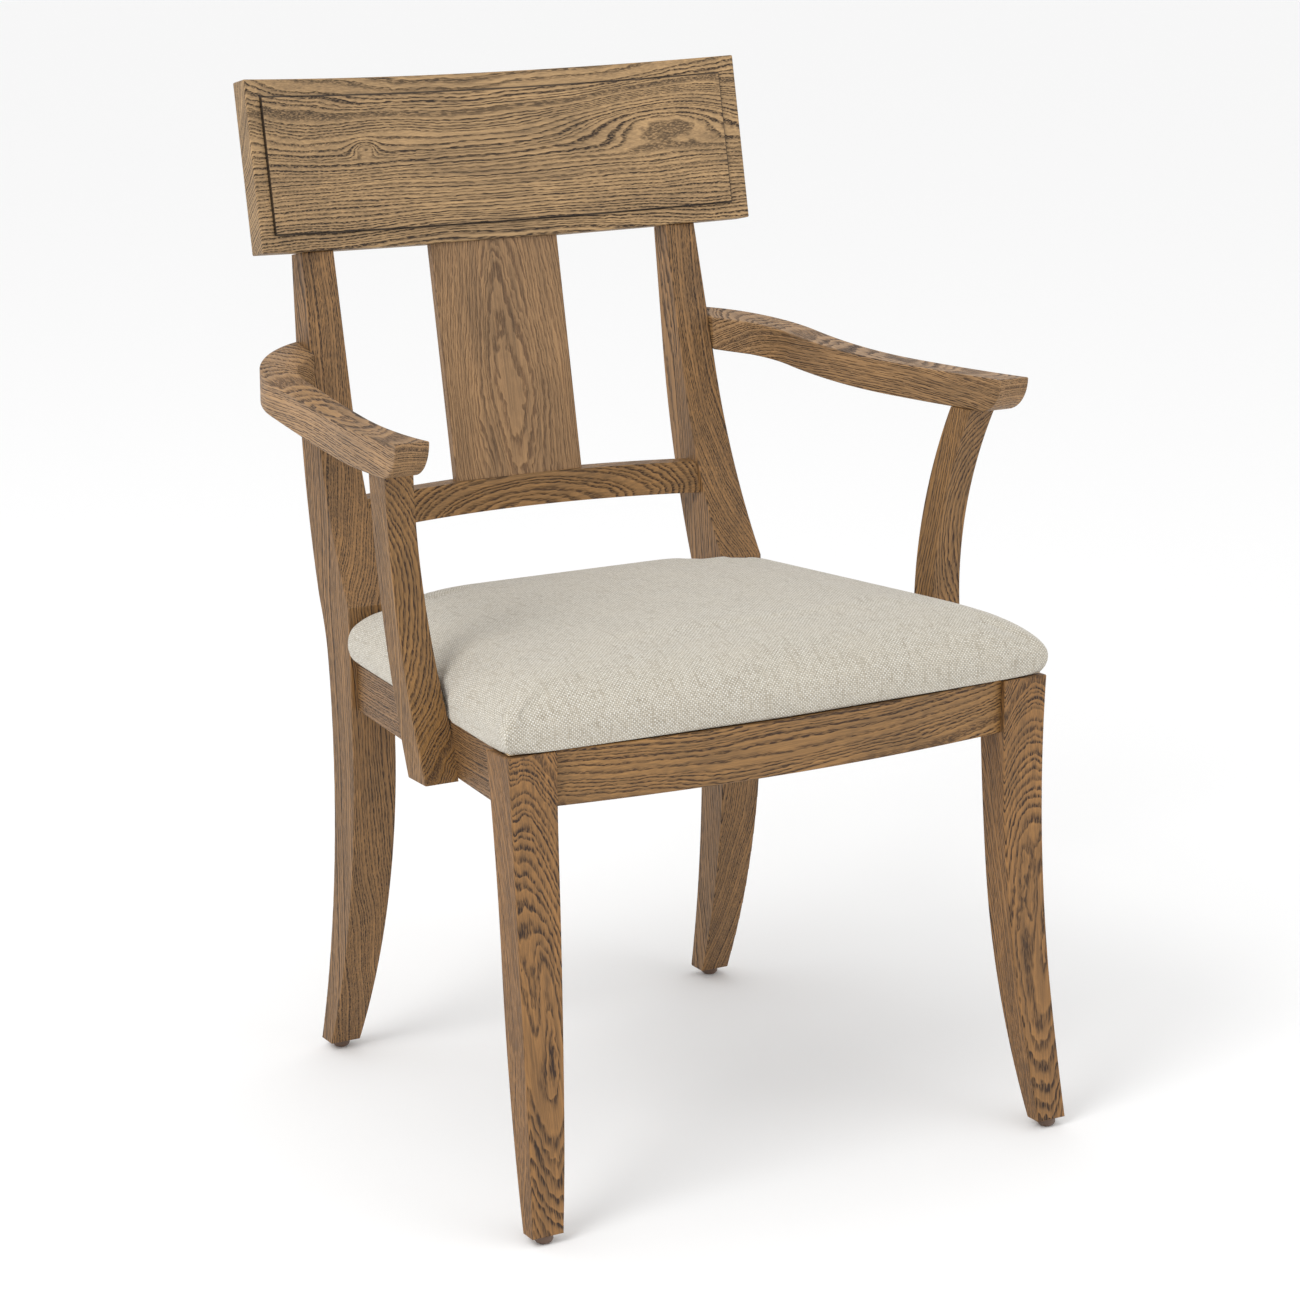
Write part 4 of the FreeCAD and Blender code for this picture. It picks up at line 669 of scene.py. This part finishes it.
def swollen(piece, held, pressure=4.0, frames=20, most=4 * MM):
    """Lets the cloth settle over its foam: a simulation under pressure, with the turned-in edge held."""
    piece.vertex_groups.new(name="held").add(held, 1.0, "REPLACE")
    cloth = piece.modifiers.new("cloth", "CLOTH")
    cloth.settings.quality = 5
    cloth.settings.use_pressure = True
    cloth.settings.uniform_pressure_force = pressure
    cloth.settings.effector_weights.gravity = 0
    cloth.settings.vertex_group_mass = "held"
    cloth.collision_settings.use_collision = False
    for number in range(1, frames + 1):
        bpy.context.scene.frame_set(number)
    settled = piece.evaluated_get(bpy.context.evaluated_depsgraph_get()).data
    places = [v.co.copy() for v in settled.vertices]
    piece.modifiers.remove(cloth)
    bpy.context.scene.frame_set(1)
    piece.vertex_groups.clear()
    for vertex, place in zip(piece.data.vertices, places):
        step = place - vertex.co
        vertex.co += step * min(1.0, most / max(step.length, 1e-9))


def closing_grid(loop, start, wide):
    """Fills a closed loop with a grid that is so many faces wide: its inner places, with how far each is
    from the loop, and its faces, which number the loop's places first. Its front right corner is at start."""
    count = len(loop)
    tall = count // 2 - wide
    number = {}
    for c in range(wide + 1):
        number[c, 0] = (start - wide + c) % count
        number[c, tall] = (start + tall + wide - c) % count
    for r in range(tall + 1):
        number[0, r] = (start - wide - r) % count
        number[wide, r] = (start + r) % count

    def between(one, other, share):
        return loop[number[one]].lerp(loop[number[other]], share)

    inner = []
    for r in range(1, tall):
        for c in range(1, wide):
            u, v = c / wide, r / tall
            spot = (between((c, 0), (c, tall), v) + between((0, r), (wide, r), u)
                    - between((0, 0), (wide, 0), u).lerp(between((0, tall), (wide, tall), u), v))
            number[c, r] = count + len(inner)
            inner.append((spot, 16 * u * (1 - u) * v * (1 - v)))
    faces = [(number[c, r], number[c + 1, r], number[c + 1, r + 1], number[c, r + 1])
             for r in range(tall) for c in range(wide)]
    return inner, faces


def seat_pad():
    """The upholstered pad: foam on a board, with the cloth drawn over it and turned in underneath."""
    places, partners = pad_outline()
    section = smooth_section(PAD_SECTION[3:], PAD_STEP)
    rows = [Vector(point) for point in PAD_SECTION[:3]] + section
    count = len(places)
    corner = Vector((PAD_FRONT_HALF, PAD_FRONT))
    verts = []
    plan = []
    for inset, height in rows:
        share = inset / PAD_CORE_INSET
        sharp = CORNER_CRISP * (1 - soft_step(height, *CORNER_FADE))
        for (x, y, _, square), partner in zip(places, partners):
            spot = (Vector((x, y)) + square * sharp).lerp(partner, share)
            away = (Vector((abs(spot.x), spot.y)) - corner).length
            low = CORNER_PULL * math.exp(-(away / CORNER_REACH) ** 2) * soft_step(height, 8, 45)
            plan.append(spot)
            verts.append(from_seat(*spot, height - low))
    faces = []
    sides = []
    for row in range(len(rows) - 1):
        for i in range(count):
            after = (i + 1) % count
            here, above = row * count, (row + 1) * count
            faces.append((here + i, here + after, above + after, above + i))
            sides.append(places[after][2] % 8)
    start = next(i for i, place in enumerate(places) if place[2] == 1)
    wide = sum(place[2] == 8 for place in places) + start
    held = list(range(UNDERSIDE_ROWS * count))
    for row, dome, turn in ((0, 0.0, -1), (len(rows) - 1, PAD_DOME, 1)):
        loop = plan[row * count:(row + 1) * count]
        inner, grid = closing_grid(loop, start, wide)
        first = len(verts)
        if row == 0:
            held += range(first, first + len(inner))
        for spot, rise in inner:
            plan.append(spot)
            verts.append(from_seat(*spot, rows[row][1] + dome * (1 - (1 - rise) ** 2)))
        for face in grid:
            faces.append([row * count + k if k < count else first + k - count for k in face][::turn])
            sides.append(None)
    mesh = bpy.data.meshes.new("seat_pad")
    mesh.from_pydata([kept_clear(vert) for vert in verts], [], faces)
    piece = placed_object("seat_pad", mesh)
    lay_weave(mesh, plan, rows, count, sides)
    swollen(piece, held)
    for vertex in mesh.vertices:
        vertex.co = kept_clear(vertex.co)
    pleat_corners(mesh)
    for polygon in mesh.polygons:
        polygon.use_smooth = True
    smoother = piece.modifiers.new("subdivision", "SUBSURF")
    smoother.levels = smoother.render_levels = 1
    mesh.materials.append(linen())
    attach(piece, "root")
    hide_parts("seat_cover", "seat_foam")


def lay_weave(mesh, plan, rows, count, sides):
    """The cloth's own coordinates, in millimetres: the weave runs straight over each edge and down it."""
    turn_row = next(row for row in range(UNDERSIDE_ROWS, len(rows)) if rows[row][0] >= WEAVE_TURN)
    drops = [0.0] * (turn_row + 1)
    for row in range(turn_row - 1, -1, -1):
        drops[row] = drops[row + 1] + (rows[row] - rows[row + 1]).length
    layer = mesh.uv_layers.new(name="cloth")
    for polygon, side in zip(mesh.polygons, sides):
        for k in polygon.loop_indices:
            corner = mesh.loops[k].vertex_index
            row, i = divmod(corner, count)
            spot = plan[corner]
            if side is None or row >= turn_row:
                layer.data[k].uv = spot
                continue
            turn = plan[turn_row * count + i]
            if side in (1, 7):
                layer.data[k].uv = (turn.x + math.copysign(drops[row], turn.x), spot.y)
            else:
                layer.data[k].uv = (spot.x, turn.y - drops[row] if side == 0 else turn.y + drops[row])


def pleat_corners(mesh):
    """The cloth is folded at each front corner: a short crease that opens at the bottom."""
    for vertex in mesh.vertices:
        spot = vertex.co
        along = abs(spot.x) - (PAD_FRONT_HALF - 3) * MM
        behind = spot.y - (LEG_FACE + 1 * MM)
        up = (spot.z - SEAT_TOP) / MM
        if along > -0.004 and behind < 0.012 and -1 < up < PLEAT_HEIGHT:
            away = (along + behind) / MM
            depth = PLEAT_DEPTH * math.exp(-(away / 1.6) ** 2) * (1 - max(0, up) / PLEAT_HEIGHT)
            vertex.co += Vector((-math.copysign(depth, spot.x), depth, 0)) * MM * 0.7


# ---------------------------------------------------------------- the dust cover

COVER_TURN = 42.8          # the dust cover's edge inside the pad's outline
COVER_CREASE = 6.0         # how far a pucker runs in from its staple
COVER_PUCKER = 0.5
COVER_SAG = 1.2            # how far it hangs in the middle
COVER_CELLS = (64, 52)     # faces across and deep
COVER_THICK = 0.4
STAPLE_SPACING = 50.0


def dust_sheet():
    """Black cloth stretched under the seat board, which sags a little and puckers at its staples."""
    front, back = PAD_FRONT + COVER_TURN, PAD_BACK - COVER_TURN
    front_half, back_half = (PAD_FRONT_HALF - PAD_TAPER * y - COVER_TURN for y in (front, back))
    bow = PAD_BOW * front_half / PAD_FRONT_HALF
    under = (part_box("dust_cover")[0][2] - SEAT_TOP) / MM + back * math.sin(SEAT_FALL)
    wide, deep = COVER_CELLS
    verts = []
    for r in range(deep + 1):
        v = r / deep
        for c in range(wide + 1):
            u = 2 * c / wide - 1
            x = u * (front_half + (back_half - front_half) * v)
            y = front + (back - front) * v - bow * (1 - u * u) * (1 - v)
            rim = min((1 - abs(u)) * front_half, v * (back - front), (1 - v) * (back - front))
            ripple = (1 - math.cos(2 * math.pi * (x + y) / STAPLE_SPACING)) / 2
            pucker = COVER_PUCKER * math.exp(-rim / COVER_CREASE) * ripple
            sag = COVER_SAG * (1 - u * u) * 4 * v * (1 - v)
            verts.append(from_seat(x, y, under + COVER_THICK - sag - pucker))
    faces = []
    for r in range(deep):
        for c in range(wide):
            here, behind = r * (wide + 1) + c, (r + 1) * (wide + 1) + c
            faces.append((here, behind, behind + 1, here + 1))
    mesh = bpy.data.meshes.new("dust_sheet")
    mesh.from_pydata(verts, [], faces)
    for polygon in mesh.polygons:
        polygon.use_smooth = True
    piece = placed_object("dust_sheet", mesh)
    thick = piece.modifiers.new("thickness", "SOLIDIFY")
    thick.thickness = COVER_THICK * MM
    thick.offset = -1
    mesh.materials.append(dust_cambric())
    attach(piece, "root")
    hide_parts("dust_cover")


# ---------------------------------------------------------------- screws

# In millimetres, as the plain screws of the frame, which the threaded ones stand for.
SCREW_SIZES = {"Width": 4.4, "Head": 8.8, "Head Height": 2.6, "Core": 3.1, "Pitch": 2.0, "Tip": 5.0}
TIP_END = 0.1              # half the width of the blunt end, and how far the tip starts inside the shank
THREAD_START = 1.3         # where the thread starts, in heights of the head


def rods_in(name):
    """Where each fastener of a CAD piece has its head, which way it points, and its length."""
    copy = bmesh.new()
    copy.from_mesh(nodes[name].data)
    bmesh.ops.remove_doubles(copy, verts=copy.verts, dist=1e-6)
    seen = set()
    found = []
    for start in copy.verts:
        if start.index in seen:
            continue
        island = [start]
        seen.add(start.index)
        for vert in island:
            for edge in vert.link_edges:
                other = edge.other_vert(vert)
                if other.index not in seen:
                    seen.add(other.index)
                    island.append(other)
        spots = [vert.co.copy() for vert in island]
        low, high = box_round(spots)
        axis = max(range(3), key=lambda i: high[i] - low[i])
        centre = (low + high) / 2
        spread = [max((spot - centre).length for spot in spots if abs(spot[axis] - end[axis]) < 0.1 * MM)
                  for end in (low, high)]
        head = centre.copy()
        head[axis] = low[axis] if spread[0] > spread[1] else high[axis]
        found.append((head, (centre - head).normalized(), high[axis] - low[axis]))
    copy.free()
    return found


def screw_tree():
    """Countersunk wood screws: one at each point, with its head there and its tip along "heading"."""
    tree = bpy.data.node_groups.new("countersunk_screws", "GeometryNodeTree")
    tree.interface.new_socket("Points", in_out="INPUT", socket_type="NodeSocketGeometry")
    for name in ("Length", *SCREW_SIZES):
        tree.interface.new_socket(name, in_out="INPUT", socket_type="NodeSocketFloat")
    tree.interface.new_socket("Finish", in_out="INPUT", socket_type="NodeSocketMaterial")
    tree.interface.new_socket("Screws", in_out="OUTPUT", socket_type="NodeSocketGeometry")
    given = add(tree, "NodeGroupInput").outputs

    def at_height(mesh, z):
        place = add(tree, "ShaderNodeCombineXYZ", {2: z}).outputs[0]
        return add(tree, "GeometryNodeTransform", {"Geometry": mesh, "Translation": place}).outputs[0]

    core = sum_of(tree, "MULTIPLY", given["Core"], 0.5)
    body = sum_of(tree, "SUBTRACT", given["Length"], given["Tip"])
    shank = add(tree, "GeometryNodeMeshCylinder", {"Vertices": 20, "Radius": core, "Depth": body})
    shank = at_height(shank.outputs["Mesh"], sum_of(tree, "MULTIPLY", body, 0.5))
    tip = add(tree, "GeometryNodeMeshCone", {
        "Vertices": 20, "Radius Top": TIP_END * MM, "Radius Bottom": sum_of(tree, "MULTIPLY", core, 0.97),
        "Depth": given["Tip"]}).outputs["Mesh"]
    tip = at_height(tip, sum_of(tree, "SUBTRACT", body, TIP_END * MM))
    neck = sum_of(tree, "MULTIPLY", given["Head Height"], THREAD_START)
    run = sum_of(tree, "SUBTRACT", body, neck)
    helix = add(tree, "GeometryNodeCurveSpiral", {
        "Resolution": 16, "Rotations": sum_of(tree, "DIVIDE", run, given["Pitch"]), "Start Radius": core,
        "End Radius": core, "Height": run}).outputs["Curve"]
    ridge = sum_of(tree, "MULTIPLY", sum_of(tree, "SUBTRACT", given["Width"], given["Core"]), 0.5)
    profile = add(tree, "GeometryNodeCurvePrimitiveCircle", {"Resolution": 3, "Radius": ridge})
    thread = add(tree, "GeometryNodeCurveToMesh",
                 {"Curve": helix, "Profile Curve": profile.outputs["Curve"], "Fill Caps": True})
    thread = at_height(thread.outputs["Mesh"], neck)

    # the head is a short cone that widens to the outside, and a cross is cut out of it
    head = add(tree, "GeometryNodeMeshCone", {
        "Vertices": 32, "Radius Top": sum_of(tree, "MULTIPLY", given["Width"], 0.5),
        "Radius Bottom": sum_of(tree, "MULTIPLY", given["Head"], 0.5),
        "Depth": given["Head Height"]}).outputs["Mesh"]
    carve = add(tree, "GeometryNodeMeshBoolean", {"Mesh 1": head}, operation="DIFFERENCE", solver="EXACT")
    for turn in (0, math.pi / 2):
        shares = [sum_of(tree, "MULTIPLY", given[socket], share)
                  for socket, share in (("Head", 0.56), ("Head", 0.13), ("Head Height", 1.4))]
        size = add(tree, "ShaderNodeCombineXYZ", dict(enumerate(shares))).outputs[0]
        slot = add(tree, "GeometryNodeMeshCube", {"Size": size}).outputs["Mesh"]
        slot = add(tree, "GeometryNodeTransform", {"Geometry": slot, "Rotation": (0, 0, turn)}).outputs[0]
        tree.links.new(slot, carve.inputs["Mesh 2"])
    whole = add(tree, "GeometryNodeJoinGeometry")
    for part in (carve.outputs["Mesh"], shank, tip, thread):
        tree.links.new(part, whole.inputs["Geometry"])
    heading = add(tree, "GeometryNodeInputNamedAttribute", {"Name": "heading"}, data_type="FLOAT_VECTOR")
    heading = heading.outputs["Attribute"]
    turned = add(tree, "FunctionNodeAlignRotationToVector", {"Vector": heading}, axis="Z")
    placed = add(tree, "GeometryNodeInstanceOnPoints", {
        "Points": given["Points"], "Instance": whole.outputs[0], "Rotation": turned.outputs[0]}).outputs[0]
    real = add(tree, "GeometryNodeRealizeInstances", {"Geometry": placed}).outputs[0]
    done = add(tree, "GeometryNodeSetMaterial", {"Geometry": real, "Material": given["Finish"]}).outputs[0]
    add(tree, "NodeGroupOutput", {"Screws": done})
    return tree


def screws(steel):
    """The threaded screws that stand for the plain ones."""
    tree = screw_tree()
    sockets = {item.name: item.identifier for item in tree.interface.items_tree if item.in_out == "INPUT"}
    for name in ("corner_block_screws", "arm_support_screws", "seat_screws"):
        rods = rods_in(name)
        points = bpy.data.meshes.new(name + "_places")
        points.from_pydata([head for head, _, _ in rods], [], [])
        layer = points.attributes.new("heading", "FLOAT_VECTOR", "POINT")
        for item, (_, heading, _) in zip(layer.data, rods):
            item.vector = heading
        maker = placed_object(name + "_maker", points)
        modifier = maker.modifiers.new("screws", "NODES")
        modifier.node_group = tree
        sizes = {socket: size * MM for socket, size in SCREW_SIZES.items()}
        for socket, value in {"Length": rods[0][2], **sizes, "Finish": steel}.items():
            modifier[sockets[socket]] = value
        mesh = bpy.data.meshes.new_from_object(maker.evaluated_get(bpy.context.evaluated_depsgraph_get()))
        bpy.data.objects.remove(maker)
        piece = placed_object("threaded_" + name, mesh)
        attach(piece, "root")
        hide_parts(name)


hidden_pieces()
seat_pad()
dust_sheet()


# ---------------------------------------------------------------- stage, light and camera

def stage_floor():
    """A plain pale floor."""
    bpy.ops.mesh.primitive_plane_add(size=60)
    floor = bpy.context.object
    floor.name = "studio_floor"
    material, _, shader = new_material("pale_studio_floor")
    shader.inputs["Base Color"].default_value = linear("#fafafa")
    shader.inputs["Roughness"].default_value = 0.9
    floor.data.materials.append(material)
    floor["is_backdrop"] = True


def soft_light(name, at, aim, size, power):
    """A round softbox that faces a point."""
    data = bpy.data.lights.new(name, "AREA")
    data.shape = "DISK"
    data.size = size
    data.energy = power
    light = placed_object(name, data)
    light.location = at
    light.rotation_euler = (Vector(aim) - Vector(at)).to_track_quat("-Z", "Y").to_euler()


def studio():
    """White surroundings, with a large key light on the left and a weak fill light in front."""
    bpy.context.scene.view_settings.view_transform = "Standard"
    world = bpy.data.worlds.new("studio")
    bpy.context.scene.world = world
    world.use_nodes = True
    background = world.node_tree.nodes["Background"]
    background.inputs["Color"].default_value = (1, 1, 1, 1)
    background.inputs["Strength"].default_value = 0.97
    stage_floor()
    aim = (cad_low + cad_high) / 2
    soft_light("key", (-2.6, -0.9, 2.9), aim, 1.8, 48)
    soft_light("fill", (1.6, -2.8, 1.6), aim, 2.4, 8)


CAMERA_AZIMUTH = math.radians(-30.157)
CAMERA_ELEVATION = math.radians(14.342)
CAMERA_DISTANCE = 3.261
CAMERA_LENS = 98.3
CAMERA_AIM = Vector((-0.0151, -0.0618, 0.4357))


def set_camera():
    """The camera, on a line from the point that it looks at."""
    data = bpy.data.cameras.new("camera")
    data.lens = CAMERA_LENS
    data.sensor_width = 36
    camera = placed_object("camera", data)
    level = math.cos(CAMERA_ELEVATION)
    away = Vector((math.sin(CAMERA_AZIMUTH) * level, -math.cos(CAMERA_AZIMUTH) * level,
                   math.sin(CAMERA_ELEVATION)))
    camera.location = CAMERA_AIM + away * CAMERA_DISTANCE
    camera.rotation_euler = (-away).to_track_quat("-Z", "Y").to_euler()
    bpy.context.scene.camera = camera


studio()
set_camera()
